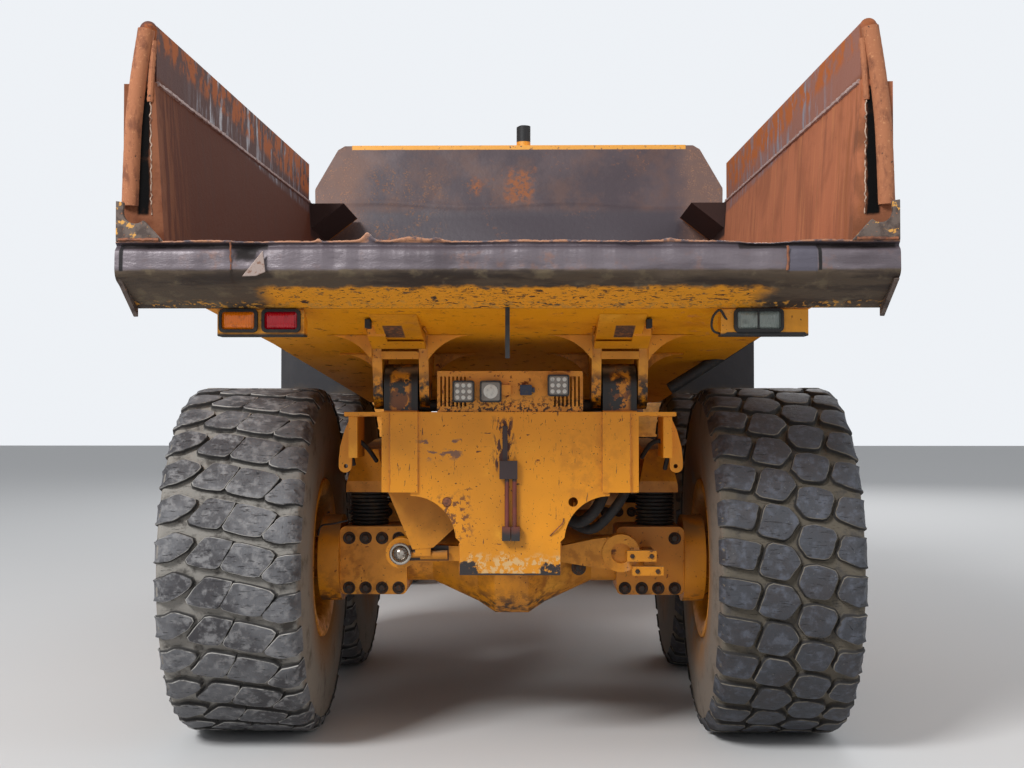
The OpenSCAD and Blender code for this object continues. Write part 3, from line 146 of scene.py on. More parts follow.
# Lugs as outlines of (across, around), in halves of the tread and in rows
left_lugs = [
    [(-1.0, 0.13), (-0.75, -0.10), (-0.5, 0.04), (-0.477, 0.16), (-0.567, 0.36), (-0.8, 0.60),
     (-1.0, 0.65)],
    [(-0.283, 0.0), (0.115, 0.13), (-0.105, 0.79), (-0.35, 0.75), (-0.53, 0.66), (-0.557, 0.57)],
    [(0.15, 0.145), (0.383, 0.229), (0.65, 0.354), (0.71, 0.457), (0.633, 0.686), (0.483, 1.0),
     (0.25, 0.95), (-0.068, 0.80)],
    [(1.0, 0.44), (0.767, 0.52), (0.683, 0.70), (0.543, 0.954), (0.567, 1.057), (0.783, 1.17),
     (1.0, 1.09)],
]
right_lugs = [
    [(-1.0, 0.0), (-0.525, 0.15), (-0.5, 0.24), (-0.60, 0.76), (-0.65, 0.79), (-1.0, 0.66)],
    [(-0.40, 0.22), (-0.33, 0.15), (-0.07, 0.24), (0.0, 0.39), (0.07, 0.606), (-0.12, 1.06),
     (-0.46, 0.94), (-0.514, 0.85)],
    [(0.13, -0.28), (0.314, -0.31), (0.55, -0.18), (0.6, -0.03), (0.493, 0.485), (0.42, 0.527),
     (0.17, 0.475), (0.05, 0.15)],
    [(0.70, -0.03), (1.0, 0.02), (1.0, 0.74), (0.90, 0.72), (0.64, 0.515), (0.61, 0.39)],
]
rng = np.random.default_rng(29)


def tone(red, green, blue):
    """A colour in linear light from its screen values between 0 and 255."""
    screen = np.array([red, green, blue]) / 255
    return (*np.where(screen > 0.04045, ((screen + 0.055) / 1.055) ** 2.4, screen / 12.92), 1.0)


class Coat:
    """A finish built up in layers: a base colour, and masks that lay other colours over it. A
    mask is 0 where the layer is missing and 1 where it covers."""

    def __init__(self, name, base, rough=0.6, metal=0.0):
        self.material, self.tree, self.shader = new_material(name)
        self.where = self.wire("TexCoord")
        self.base, self.rough, self.height = base, rough, None
        self.shader.inputs["Metallic"].default_value = metal

    def wire(self, kind, settings=None, inputs=None):
        """One shader node, its settings, and its inputs given as values or sockets."""
        made = self.tree.nodes.new("ShaderNode" + kind)
        for key, value in (settings or {}).items():
            setattr(made, key, value)
        for key, value in (inputs or {}).items():
            if isinstance(value, bpy.types.NodeSocket):
                self.tree.links.new(value, made.inputs[key])
            else:
                made.inputs[key].default_value = value
        return made

    def sum_up(self, operation, a, b):
        """Two numbers joined by an operation, such as MULTIPLY, ADD or MAXIMUM."""
        return self.wire("Math", {"operation": operation}, {0: a, 1: b}).outputs[0]

    def between(self, value, low, high):
        """0 up to low, 1 from high on, and a smooth step between them."""
        settings = {"interpolation_type": "SMOOTHSTEP"}
        return self.wire("MapRange", settings, {0: value, 1: low, 2: high}).outputs[0]

    def noise(self, size, stretch=(1, 1, 1), detail=5, warp=0.0, shift=0.0):
        """Fractal noise with features of about a size in metres, stretched along the axes."""
        scale = tuple(1 / (size * s) for s in stretch)
        place = self.wire("Mapping", inputs={0: self.where.outputs["Object"], 3: scale,
                                             1: (shift, 1.7 * shift, -shift)})
        return self.wire("TexNoise", inputs={"Vector": place.outputs[0], "Scale": 1.0,
                                             "Detail": detail, "Roughness": 0.62,
                                             "Distortion": warp}).outputs[0]

    def spots(self, size, low, high, **how):
        """A mask of ragged patches: noise cut off between two levels about 0.5."""
        return self.between(self.noise(size, **how), low, high)

    def along(self, axis, low, high, ragged=0.0, size=0.15, shift=0.0):
        """A mask that comes in along an axis between two places, with a ragged front."""
        split = self.wire("SeparateXYZ", inputs={0: self.where.outputs["Object"]})
        at = split.outputs["XYZ".index(axis)]
        if ragged:
            wave = self.sum_up("SUBTRACT", self.noise(size, detail=6, shift=shift), 0.5)
            at = self.sum_up("ADD", at, self.sum_up("MULTIPLY", wave, ragged))
        return self.between(at, low, high)

    def window(self, low, high, soft=0.02, ragged=0.0, size=0.1):
        """A mask that covers a box between two corners, with soft or ragged edges."""
        masks = []
        for axis, a, b in zip("XYZ", low, high):
            if a is not None:
                masks += [self.along(axis, a - soft, a + soft, ragged, size, 3.1),
                          self.along(axis, b + soft, b - soft, ragged, size, 5.3)]
        return self.times(*masks)

    def facing(self, axis, low, high):
        """A mask of the surfaces that face along an axis, by the object's own normals."""
        split = self.wire("SeparateXYZ", inputs={0: self.where.outputs["Normal"]})
        return self.between(split.outputs["XYZ".index(axis)], low, high)

    def outward(self, low, high):
        """A mask of the surfaces that face away from the middle plane of the truck."""
        place = self.wire("SeparateXYZ", inputs={0: self.where.outputs["Object"]})
        side = self.wire("Math", {"operation": "SIGN"}, {0: place.outputs[0]}).outputs[0]
        normal = self.wire("SeparateXYZ", inputs={0: self.where.outputs["Normal"]})
        return self.between(self.sum_up("MULTIPLY", side, normal.outputs[0]), low, high)

    def mark(self, name):
        """The number that a piece keeps for each of its points under a name."""
        return self.wire("Attribute", {"attribute_name": name}).outputs["Fac"]

    def times(self, *masks):
        """The masks multiplied: what all of them cover. One of them may be a plain share."""
        mask = masks[0]
        for other in masks[1:]:
            mask = self.sum_up("MULTIPLY", mask, other)
        return mask

    def over(self, mask, colour, rough=None):
        """Another colour, and perhaps another roughness, laid over where the mask covers."""
        mix = self.wire("Mix", {"data_type": "RGBA"}, {0: mask, 6: self.base, 7: colour})
        self.base = mix.outputs[2]
        if rough is not None:
            self.rough = self.wire("Mix", inputs={0: mask, 2: self.rough, 3: rough}).outputs[0]
        return self

    def patches(self, size, low, high, colour, rough, *masks, **how):
        """Ragged patches of another colour, kept to where all the masks cover."""
        return self.over(self.times(self.spots(size, low, high, **how), *masks), colour, rough)

    def relief(self, value, depth):
        """Raises the surface by a depth in metres where the value is 1."""
        lift = self.sum_up("MULTIPLY", value, depth)
        self.height = lift if self.height is None else self.sum_up("ADD", self.height, lift)
        return self

    def done(self):
        """Sets or links colour, roughness and bump on the shader, and gives the material."""
        for key, value in [("Base Color", self.base), ("Roughness", self.rough)]:
            if isinstance(value, bpy.types.NodeSocket):
                self.tree.links.new(value, self.shader.inputs[key])
            else:
                self.shader.inputs[key].default_value = value
        if self.height is not None:
            bump = self.wire("Bump", inputs={"Strength": 1.0, "Distance": 1.0,
                                             "Height": self.height})
            self.tree.links.new(bump.outputs[0], self.shader.inputs["Normal"])
        return self.material


def grid_faces(rows, columns, wrap_rows=False, wrap_columns=True):
    """Quads between the points of a grid, joined round along either way where asked."""
    r = np.arange(rows if wrap_rows else rows - 1)[:, None] + np.zeros((1, 1), int)
    c = np.arange(columns if wrap_columns else columns - 1)[None, :]
    r2, c2 = (r + 1) % rows, (c + 1) % columns
    quads = np.stack(np.broadcast_arrays(r * columns + c, r * columns + c2, r2 * columns + c2,
                                         r2 * columns + c), -1)
    return quads.reshape(-1, 4)


def mesh_piece(name, shells, material, body, replaced=(), sharp=35, bevel=0.0, marks=()):
    """One piece from shells, each its points (n, 3) and a list of face arrays. A shell that is
    inside out, by the sign of the volume its faces sweep about its middle, is turned. The piece
    rides on its body and takes its finish from a slot."""
    points = np.concatenate([np.reshape(p, (-1, 3)) for p, _ in shells])
    faces, start = [], 0
    for p, parts in shells:
        p = np.reshape(p, (-1, 3))
        q = p - p.mean(axis=0)
        # Each face is swept as a fan of triangles from its first corner
        volume = sum(np.einsum("ij,ij->", q[f[:, 0]], np.cross(q[f[:, k]], q[f[:, k + 1]]))
                     for f in parts for k in range(1, f.shape[1] - 1))
        faces += [(f if volume > 0 else f[:, ::-1]) + start for f in parts]
        start += len(p)
    widths = np.concatenate([np.full(len(f), f.shape[1]) for f in faces])
    mesh = bpy.data.meshes.new(name)
    mesh.vertices.add(len(points))
    mesh.vertices.foreach_set("co", points.ravel())
    mesh.loops.add(int(widths.sum()))
    mesh.loops.foreach_set("vertex_index", np.concatenate([f.ravel() for f in faces]))
    mesh.polygons.add(len(widths))
    mesh.polygons.foreach_set("loop_start", np.concatenate([[0], np.cumsum(widths)[:-1]]))
    mesh.update(calc_edges=True)
    mesh.shade_smooth()
    mesh.set_sharp_from_angle(angle=math.radians(sharp))
    for mark, values in marks:
        mesh.attributes.new(mark, "FLOAT", "POINT").data.foreach_set("value", np.ravel(values))
    mesh.materials.append(material)
    piece = bpy.data.objects.new(name, mesh)
    bpy.context.scene.collection.objects.link(piece)
    if bevel:
        cut = piece.modifiers.new("edges", "BEVEL")
        cut.width = bevel
        cut.segments = 2
        cut.limit_method = "ANGLE"
        cut.harden_normals = True
    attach(piece, body)
    if replaced:
        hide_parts(*replaced)
    return piece


def smooth_line(points, steps):
    """A curve through points: between two of them, the cubic whose ends point along the line
    from the point before to the point after."""
    p = np.asarray(points, float)
    run = np.gradient(p, axis=0)
    t = np.linspace(0, 1, steps, endpoint=False)[None, :, None]
    line = (p[:-1, None] * (2 * t**3 - 3 * t**2 + 1) + run[:-1, None] * (t**3 - 2 * t**2 + t)
            + p[1:, None] * (3 * t**2 - 2 * t**3) + run[1:, None] * (t**3 - t**2))
    return np.concatenate([line.reshape(-1, p.shape[1]), p[-1:]])


def round_outline(corners, count, cut=0.07):
    """A closed outline with its corners cut twice, then walked in equal steps, clockwise."""
    p = np.asarray(corners, float)
    for share in (cut, 0.25):
        ahead = np.roll(p, -1, axis=0)
        p = np.stack([p + (ahead - p) * share, ahead - (ahead - p) * share], 1).reshape(-1, 2)
    loop = np.concatenate([p, p[:1]])
    along = np.concatenate([[0], np.cumsum(np.linalg.norm(np.diff(loop, axis=0), axis=1))])
    at = np.linspace(0, along[-1], count, endpoint=False)
    return np.stack([np.interp(at, along, loop[:, k]) for k in (0, 1)], 1)


def capped(rings):
    """Caps from rings (caps, rings, count, 3): quads up their sides, and a fan from the last
    ring to its middle."""
    caps, depth, count, _ = rings.shape
    middle = rings[:, -1].mean(axis=1, keepdims=True)
    points = np.concatenate([rings.reshape(caps, -1, 3), middle], axis=1)
    side = grid_faces(depth, count)
    c = np.arange(count)
    last = (depth - 1) * count
    fan = np.stack([last + c, last + (c + 1) % count, np.full(count, depth * count)], -1)
    shift = np.arange(caps)[:, None, None] * (depth * count + 1)
    return points.reshape(-1, 3), [(side + shift).reshape(-1, 4), (fan + shift).reshape(-1, 3)]


def tread_skin(s):
    """Place (x, r) and outward normal on the tread, a length s from its middle: flat up to
    crown_half, then a quarter circle of shoulder_r, then straight down."""
    turn = np.clip((np.abs(s) - crown_half) / shoulder_r, 0, math.pi / 2)
    down = np.maximum(np.abs(s) - crown_half - shoulder_r * math.pi / 2, 0)
    x = np.minimum(np.abs(s), crown_half) + shoulder_r * np.sin(turn)
    r = crown_r - shoulder_r + shoulder_r * np.cos(turn) - down
    return x * np.sign(s), r, np.sin(turn) * np.sign(s), np.cos(turn)


def tyre_shells(outlines, steps=180, count=26):
    """A tyre about the origin. The carcass is its half profile and the mirror image of it,
    turned round the axle. Each lug is one outline, repeated at every row: rings of it run up the
    lug's side and over its top, shrunk towards the middle, and are laid on the tread's skin."""
    side = smooth_line(tyre_side[::-1], 4)
    x, r, _, _ = tread_skin(np.linspace(0.372, 0, 24))
    half = np.concatenate([[(0.2, 0.3253)], side, np.stack([x, r], 1)])
    for ring_r, proud, width in mould_rings:
        half[:, 0] += proud * np.exp(-(((half[:, 1] - ring_r) / width) ** 2))
    profile = np.concatenate([half, half[-2::-1] * (-1, 1)])
    angle = np.linspace(0, 2 * math.pi, steps, endpoint=False)
    x, r = profile[:, :1], profile[:, 1:]
    points = np.stack([x + 0 * angle, -r * np.cos(angle), -r * np.sin(angle)], -1)
    shells = [(points, [grid_faces(len(profile), steps, wrap_rows=True)])]
    # For each point: 0 to 1 up a lug, and on the carcass 0 to 1 down the side and towards the rim
    rise = [np.zeros(points.size // 3)]
    flank = [np.repeat(np.clip((0.895 - profile[:, 1]) / 0.02, 0, 1), steps)]
    bead = [np.repeat(np.clip((0.68 - profile[:, 1]) / 0.22, 0, 1), steps)]
    row = 2 * math.pi / lug_rows
    inset, height, level = np.transpose(lug_rings)
    for corners in outlines:
        flat = round_outline(np.asarray(corners) * (tread_half, row * tyre_r), count)
        middle = flat.mean(axis=0)
        reach = np.linalg.norm(flat - middle, axis=1).mean()
        ring = middle + (flat - middle) * np.maximum(1 - inset / reach, 0.08)[:, None, None]
        turn = np.arange(lug_rows)[:, None, None] * row + ring[None, :, :, 1] / tyre_r
        ripple = 0.0014 * rng.standard_normal((lug_rows, 1, count))
        across = np.clip(np.abs(ring[None, :, :, 0] + ripple), 0, tread_half)
        # The last tenth of the half tread is stretched down over the shoulder, and thins there
        s = np.interp(across, [0, 0.9 * tread_half, tread_half], [0, 0.303, 0.376])
        s = s * np.sign(ring[None, :, :, 0])
        x, r, lean, rise_r = tread_skin(s)
        full = np.interp(np.abs(s), [0.30, 0.365], [lug_rise, 0.013])
        up = height[None, :, None] * full * (1 - 0.07 * rng.random((lug_rows, 1, 1)))
        x, r = x + lean * up, r + rise_r * up
        turn = np.broadcast_to(turn, r.shape)
        shells.append(capped(np.stack([x, -r * np.cos(turn), -r * np.sin(turn)], -1)))
        rise.append(np.tile(np.append(np.repeat(level, count), 1.0), lug_rows))
        flank.append(np.zeros(lug_rows * (len(inset) * count + 1)))
        bead.append(flank[-1])
    return shells, [("rise", np.concatenate(rise)), ("flank", np.concatenate(flank)),
                    ("bead", np.concatenate(bead))]


def tyre_coat(name, top, pale, dust, edge, wall):
    """Worn rubber: dust in the grooves, painted shade down the lugs' sides, pale edges of dust and
    painted highlight, blotchy tops and a dusty side.
    """
    coat = Coat(name, dust, 0.95)
    rise, flank = coat.mark("rise"), coat.mark("flank")
    coat.patches(0.10, 0.48, 0.66, tone(74, 70, 66), 0.95, shift=2.2)
    # The lugs' sides are painted dark: painted shade.
    coat.over(coat.between(rise, 0.05, 0.45), tone(38, 36, 36), 0.85)
    # Pale dust along the lugs' upper edges, which also stands for a painted highlight.
    coat.patches(0.12, 0.36, 0.60, edge, 0.8, coat.between(rise, 0.55, 0.70))
    coat.patches(0.03, 0.25, 0.45, top, 0.62, coat.between(rise, 0.76, 0.86))
    coat.over(coat.between(rise, 0.80, 0.90), top, 0.62)
    crown = coat.between(rise, 0.7, 0.9)
    coat.patches(0.35, 0.42, 0.62, tone(52, 50, 53), 0.6, crown, shift=3.0)
    coat.patches(0.05, 0.46, 0.68, pale, 0.75, crown)
    coat.patches(0.014, 0.66, 0.76, tone(112, 110, 106), 0.8, crown, detail=3)
    coat.patches(0.02, 0.62, 0.68, tone(34, 33, 35), 0.7, crown, stretch=(3, 1, 0.4), shift=6.0)
    coat.patches(0.5, 0.2, 0.4, wall, 0.85, flank)
    coat.patches(0.12, 0.5, 0.75, tone(84, 74, 62), 0.85, flank)
    coat.patches(0.03, 0.62, 0.8, dust, 0.95, flank)
    coat.patches(0.2, 0.25, 0.5, tone(134, 92, 46), 0.85, coat.mark("bead"))
    coat.relief(coat.noise(0.012, detail=6), 0.0022)
    coat.relief(coat.spots(0.02, 0.60, 0.66, stretch=(3, 1, 0.4), shift=6.0), -0.002)
    return coat.done()


# The left tyres get paler tones than the right ones: painted sunlight on the left, painted shade on
# the right.
sunlit_left_rubber = tyre_coat("split_lug_rubber", tone(92, 92, 95), tone(122, 121, 122),
                        tone(136, 132, 126), tone(172, 169, 164), tone(124, 114, 102))
shaded_right_rubber = tyre_coat("hexagon_rubber", tone(54, 56, 62), tone(78, 81, 90),
                         tone(96, 89, 78), tone(118, 111, 99), tone(112, 101, 90))
for axle, axle_y in axle_ys.items():
    for hand, sign, lugs, rubber in [("left", -1, left_lugs, sunlit_left_rubber),
                                     ("right", 1, right_lugs, shaded_right_rubber)]:
        shells, marks = tyre_shells(lugs)
        shells = [(np.reshape(p, (-1, 3)) + (sign * wheel_x, axle_y, axle_z), f)
                  for p, f in shells]
        mesh_piece(f"tyre_{axle}_{hand}_rubber", shells, rubber, f"wheel_{axle}_{hand}",
                   (f"tyre_{axle}_{hand}",), sharp=50, marks=marks)

# Rims: pressed steel discs with a hub drum, painted, dusty and greasy round the hub. The planet
# cover is bolted into the drum, and two rings of nuts and bolts hold the hub and the disc.
hub_bolts = 12
rim_nuts = 24
# The rim's well and flange on one side of the tyre, as a closed outline of (x, r)
rim_edge = [(0.205, 0.338), (0.300, 0.350), (0.318, 0.362), (0.326, 0.385), (0.330, 0.424),
            (0.338, 0.434), (0.348, 0.431), (0.351, 0.418), (0.343, 0.380), (0.335, 0.352),
            (0.318, 0.338), (0.300, 0.330), (0.205, 0.318)]


def turned(profile, steps=48, closed=False):
    """A profile of (x, r) points turned round the X axis. Its ends lie on the axis, or meet
    where it is closed."""
    p = np.asarray(profile, float)
    angle = np.linspace(0, 2 * math.pi, steps, endpoint=False)
    x, r = p[:, :1], np.maximum(p[:, 1:], 0.0)
    points = np.stack([x + 0 * angle, r * np.cos(angle), r * np.sin(angle)], -1)
    return points, [grid_faces(len(p), steps, wrap_rows=closed)]


def repeated(shell, moves):
    """One shell repeated at many places: moves is an array of (x, y, z)."""
    p, faces = np.reshape(shell[0], (-1, 3)), shell[1]
    moves = np.asarray(moves, float).reshape(-1, 3)
    shift = np.arange(len(moves))[:, None, None] * len(p)
    return (p[None] + moves[:, None]).reshape(-1, 3), [
        (f[None] + shift).reshape(-1, f.shape[1]) for f in faces]


def circle_of(count, r, x):
    """Places on a circle round the X axis."""
    a = np.arange(count) * 2 * math.pi / count
    return np.stack([np.full(count, x), r * np.cos(a), r * np.sin(a)], 1)


def bolt_head(r, length, sides=6):
    """A hexagon head with a chamfered end that points along +X, from its seat at x = 0."""
    return turned([(-0.004, 0.0), (-0.004, r), (length * 0.8, r), (length, r * 0.82),
                   (length, 0.0)], sides)


def finish_nodes(material, *names):
    """Gives CAD pieces that keep their shape a finish."""
    for name in names:
        for place in nodes[name].material_slots:
            place.material = material


def worn_paint(name, paint=(224, 144, 10), dirt=0.55, rust=0.66, chips=0.68):
    """Old machine paint: faded patches, brown grime, rust that shows through, dark chips."""
    coat = Coat(name, tone(*paint), 0.42)
    coat.patches(0.7, 0.42, 0.68, tone(*[int(c * 0.88) for c in paint]), None, detail=3)
    coat.patches(0.25, 0.55, 0.8, tone(234, 164, 40), 0.5)
    coat.patches(0.05, 0.40, 0.62, tone(166, 100, 22), 0.7,
                 coat.spots(0.9, dirt - 0.1, dirt + 0.12, shift=4.0))
    coat.patches(0.035, rust, rust + 0.04, tone(120, 62, 24), 0.85, shift=2.0)
    coat.patches(0.012, chips, chips + 0.02, tone(56, 34, 24), 0.8, detail=3, shift=7.0)
    coat.relief(coat.noise(0.004, detail=2), 0.0002)
    return coat


coat = worn_paint("rim_paint", paint=(216, 138, 16), dirt=0.50)
coat.patches(0.3, 0.46, 0.66, tone(150, 104, 44), 0.85, shift=9.0)
coat.patches(0.08, 0.60, 0.70, tone(72, 52, 34), 0.7, shift=1.0)
rim_paint = coat.done()
coat = Coat("zinc_nuts", tone(120, 96, 66), 0.5, 0.4)
coat.patches(0.02, 0.45, 0.6, tone(84, 52, 30), 0.8)
nut_steel = coat.done()
for axle, axle_y in axle_ys.items():
    for hand, sign in [("left", -1), ("right", 1)]:
        flip = np.array([sign, 1, 1])
        middle = np.array([sign * wheel_x, axle_y, axle_z])
        cover = turned([(0.05, 0.0), (0.05, 0.138), (0.178, 0.138), (0.186, 0.132),
                        (0.190, 0.105), (0.205, 0.098), (0.208, 0.060), (0.214, 0.054),
                        (0.216, 0.0)])
        mesh_piece(f"hub_cover_{axle}_{hand}", [(cover[0] * flip + middle, cover[1])], rim_paint,
                   f"wheel_{axle}_{hand}")
        bolts = [repeated(bolt_head(0.015, 0.012), circle_of(hub_bolts, 0.206, 0.225)),
                 repeated(bolt_head(0.009, 0.008), circle_of(8, 0.118, 0.188)),
                 repeated(bolt_head(0.014, 0.030), circle_of(rim_nuts, 0.262, 0.094))]
        mesh_piece(f"wheel_bolts_{axle}_{hand}", [(p * flip + middle, f) for p, f in bolts],
                   nut_steel, f"wheel_{axle}_{hand}")
        well, faces = turned(rim_edge, 72, closed=True)
        mesh_piece(f"rim_flanges_{axle}_{hand}",
                   [(well + middle, faces), (well * (-1, 1, 1) + middle, faces)], rim_paint,
                   f"wheel_{axle}_{hand}")
        finish_nodes(rim_paint, f"rim_{axle}_{hand}")

# Dump body: a tub of wear plate, welded. Inside, the load has scoured it down to brown rust with
# bare streaks. Outside and underneath it still has its paint, with grime and rust in it.


def inside_rust(name, left=(92, 48, 30), right=(178, 110, 78)):
    """Scoured rust: reddish brown, faint streaks down the plate, and above the seam a purple grey
    band with scuffs and a rusty top. The right side, its band and its pale streaks are painted
    paler: painted sunlight, and painted shade on the left."""
    coat = Coat(name, tone(*left), 0.9)
    coat.shader.inputs["Specular IOR Level"].default_value = 0.2
    # The right wall is painted paler than the left: painted sunlight on it, painted shade on the
    # left.
    painted_sunlit_side = coat.along("X", -0.4, 0.9)
    coat.over(painted_sunlit_side, tone(*right))
    coat.patches(0.5, 0.42, 0.64, tone(92, 52, 38), None, 0.3, warp=0.6)
    coat.patches(0.07, 0.50, 0.72, tone(74, 44, 34), 0.8, 0.35, stretch=(1, 1, 9))
    # The pale streaks come only on the sunlit side: streaks of wear, painted paler as painted
    # light.
    coat.patches(0.05, 0.5, 0.72, tone(206, 142, 92), 0.85, painted_sunlit_side, 0.3, stretch=(1, 1, 14),
                 shift=4.4)
    coat.patches(0.05, 0.44, 0.62, tone(140, 84, 48), 0.85, coat.along("Y", -4.9, -5.4, 0.1), 0.6,
                 stretch=(1, 1, 8), shift=7.0)
    band = coat.along("Z", 3.205, 3.245)
    coat.over(coat.times(band, 0.75), tone(84, 58, 56), 0.75)
    # The band is painted paler on the sunlit side: painted light.
    coat.over(coat.times(band, painted_sunlit_side, 0.7), tone(160, 106, 88), 0.6)
    middle = coat.window((None, -4.7, None), (None, -1.5, None), 0.3)
    coat.patches(0.05, 0.50, 0.66, tone(126, 122, 132), 0.45, band, middle, stretch=(1, 1.5, 6),
                 shift=3.0)
    coat.patches(0.10, 0.42, 0.56, tone(176, 98, 48), 0.85, coat.along("Z", 3.33, 3.39, 0.06))
    coat.patches(0.022, 0.68, 0.74, tone(58, 34, 26), 0.8, shift=1.5)
    coat.relief(coat.noise(0.05, detail=7), 0.0018)
    coat.relief(coat.spots(0.012, 0.45, 0.75, detail=3), 0.0005)
    return coat


def outside_paint(coat, extra=None):
    """Lays worn paint over the faces that look outwards or down, but for the tail edges, which are
    bare, and the corner pieces, painted dark as painted shade with their tops paler as painted
    light."""
    out = coat.sum_up("MAXIMUM", coat.outward(0.10, 0.25), coat.facing("Z", -0.12, -0.3))
    if extra is not None:
        out = coat.sum_up("MAXIMUM", out, extra)
    tail = coat.window((None, -5.62, 2.48), (None, -5.42, 3.60))
    corners = coat.window((None, -1.36, 3.05), (None, -0.53, 3.34))
    bare = coat.sum_up("MAXIMUM", tail, corners)
    coat.patches(0.2, 0.35, 0.6, tone(128, 80, 56), 0.9, tail)
    # The corner pockets are painted dark: painted shade; their upward faces paler: painted light.
    coat.over(corners, tone(56, 36, 32), 0.9)
    coat.over(coat.times(corners, coat.facing("Z", 0.3, 0.6)), tone(132, 86, 62), 0.85)
    kept = coat.times(out, coat.spots(0.06, 0.72, 0.58, shift=8.0),
                      coat.sum_up("SUBTRACT", 1.0, bare))
    coat.over(kept, tone(226, 146, 12), 0.45)
    coat.patches(0.5, 0.50, 0.74, tone(198, 120, 12), 0.55, kept)
    coat.patches(0.09, 0.60, 0.76, tone(164, 98, 26), 0.7, kept, shift=5.0)
    coat.patches(0.018, 0.67, 0.70, tone(96, 52, 26), 0.8, kept, shift=2.5)
    return coat


coat = outside_paint(inside_rust("tub_plate"))
# Between each tail post and the wall's edge the rib face is painted near black: painted shade in
# the gap.
for side in (-1, 1):
    low, high = sorted([side * 1.570, side * 1.625])
    coat.over(coat.window((low, -5.60, 2.60), (high, -5.49, 3.16), 0.008, 0.03), tone(4, 3, 3), 1.0)
finish_nodes(coat.done(), "body_tub")
# The bands take a painted shade tone on the left and a paler, painted sunlit tone on the right.
finish_nodes(inside_rust("band_plate", (98, 56, 38), (150, 92, 60)).done(), "side_bands")

# Wall seams and tail posts: one long weld down each side wall, and a half-round bar of rusty
# steel that is welded up each wall's tail edge, with the plate's bright torn edge beside it.


def closed_faces(rows, columns):
    """The faces of a row of rings: quads between them, and a flat face over each end."""
    c = np.arange(columns)
    return [grid_faces(rows, columns), np.stack([c[::-1], c + (rows - 1) * columns])]


def tube(line, run, radius, sides):
    """A bar round a line: at each of its points a ring of the radius there, across the run."""
    side = np.cross(run, (0.37, 0.61, 0.70))
    side /= np.linalg.norm(side, axis=1, keepdims=True)
    other = np.cross(run / np.linalg.norm(run, axis=1, keepdims=True), side)
    a = np.linspace(0, 2 * math.pi, sides, endpoint=False)[None, :, None]
    ring = side[:, None] * np.cos(a) + other[:, None] * np.sin(a)
    return line[:, None] + radius[:, None, None] * ring, closed_faces(len(line), sides)


def hose(points, r, sides=10, ripple=0.0, step=0.006):
    """A round bar along a smooth curve. A ripple swells it at every step of its length."""
    line = smooth_line(points, 10)
    length = np.concatenate([[0], np.cumsum(np.linalg.norm(np.diff(line, axis=0), axis=1))])
    radius = r * (1 + ripple * np.sin(length * math.pi / step) ** 2)
    return tube(line, np.gradient(line, axis=0), radius, sides)


def weld(start, end, r=0.006):
    """A straight bead between two points, uneven in its line and its thickness."""
    run = np.subtract(end, start)
    count = max(int(np.linalg.norm(run) / 0.012), 3)
    line = np.linspace(start, end, count) + 0.0012 * rng.standard_normal((count, 3))
    return tube(line, run[None], r * (0.8 + 0.4 * rng.random(count)), 6)


def plate(outline, axis, low, high):
    """A flat plate: an outline in the other two axes, carried along one axis."""
    n, k = len(outline), "xyz".index(axis)
    p = np.zeros((2, n, 3))
    p[:, :, [i for i in range(3) if i != k]] = outline
    p[0, :, k], p[1, :, k] = low, high
    return p, closed_faces(2, n)


def block(low, high):
    """A box between two corners."""
    (x0, y0, z0), (x1, y1, z1) = low, high
    return plate([(x0, z0), (x1, z0), (x1, z1), (x0, z1)], "y", y0, y1)


def round_box(a0, b0, a1, b1, r, count=4):
    """The outline of a rectangle with round corners."""
    t = np.linspace(0, math.pi / 2, count + 1)
    corners = [(a1 - r, b1 - r, 0), (a0 + r, b1 - r, 1), (a0 + r, b0 + r, 2), (a1 - r, b0 + r, 3)]
    return np.concatenate([np.stack([a + r * np.cos(t + q * math.pi / 2),
                                     b + r * np.sin(t + q * math.pi / 2)], 1)
                           for a, b, q in corners])


def mirrored(shells):
    """The shells and their mirror images on the other side of the truck."""
    return shells + [(np.reshape(p, (-1, 3)) * (-1, 1, 1), f) for p, f in shells]


def wall_inner(z):
    """Where a side wall's inner face stands at a height, half a millimetre proud."""
    return np.interp(z, [2.48, 3.40], [1.580, 1.640]) - 0.0755


coat = Coat("seam_steel", tone(168, 144, 138), 0.6)
coat.patches(0.08, 0.50, 0.70, tone(132, 92, 74), None)
seams = [weld((wall_inner(3.19), -5.46, 3.19), (wall_inner(3.31), -1.35, 3.31), 0.011)]
mesh_piece("wall_seams", mirrored(seams), coat.done(), "dump_body")
coat = Coat("weld_rust", tone(132, 78, 48), 0.7)
coat.patches(0.03, 0.45, 0.65, tone(88, 52, 36), None)
coat.relief(coat.noise(0.006, detail=3), 0.0006)
weld_rust = coat.done()
coat = Coat("post_rust", tone(164, 104, 70), 0.85)
coat.patches(0.05, 0.48, 0.66, tone(124, 74, 50), 0.85, stretch=(1, 1, 2))
coat.patches(0.012, 0.58, 0.70, tone(188, 130, 90), 0.85, detail=4)
coat.patches(0.02, 0.64, 0.70, tone(64, 42, 34), 0.85, shift=4.0)
coat.relief(coat.noise(0.010, detail=6), 0.0018)
post_rust = coat.done()
post = hose([(1.657, -5.497, 2.640), (1.650, -5.500, 2.85), (1.641, -5.500, 3.03),
             (1.620, -5.498, 3.22), (1.590, -5.497, 3.420)], 0.037, 20, ripple=0.02, step=0.05)
strip = hose([(1.572, -5.498, 3.10), (1.565, -5.498, 3.24), (1.556, -5.496, 3.37)], 0.013, 10,
             ripple=0.2, step=0.03)
mesh_piece("tail_posts", mirrored([post, strip]), post_rust, "dump_body")
coat = Coat("torn_edge", tone(176, 152, 134), 0.4, 0.4)
coat.patches(0.03, 0.48, 0.62, tone(110, 74, 56), 0.7)
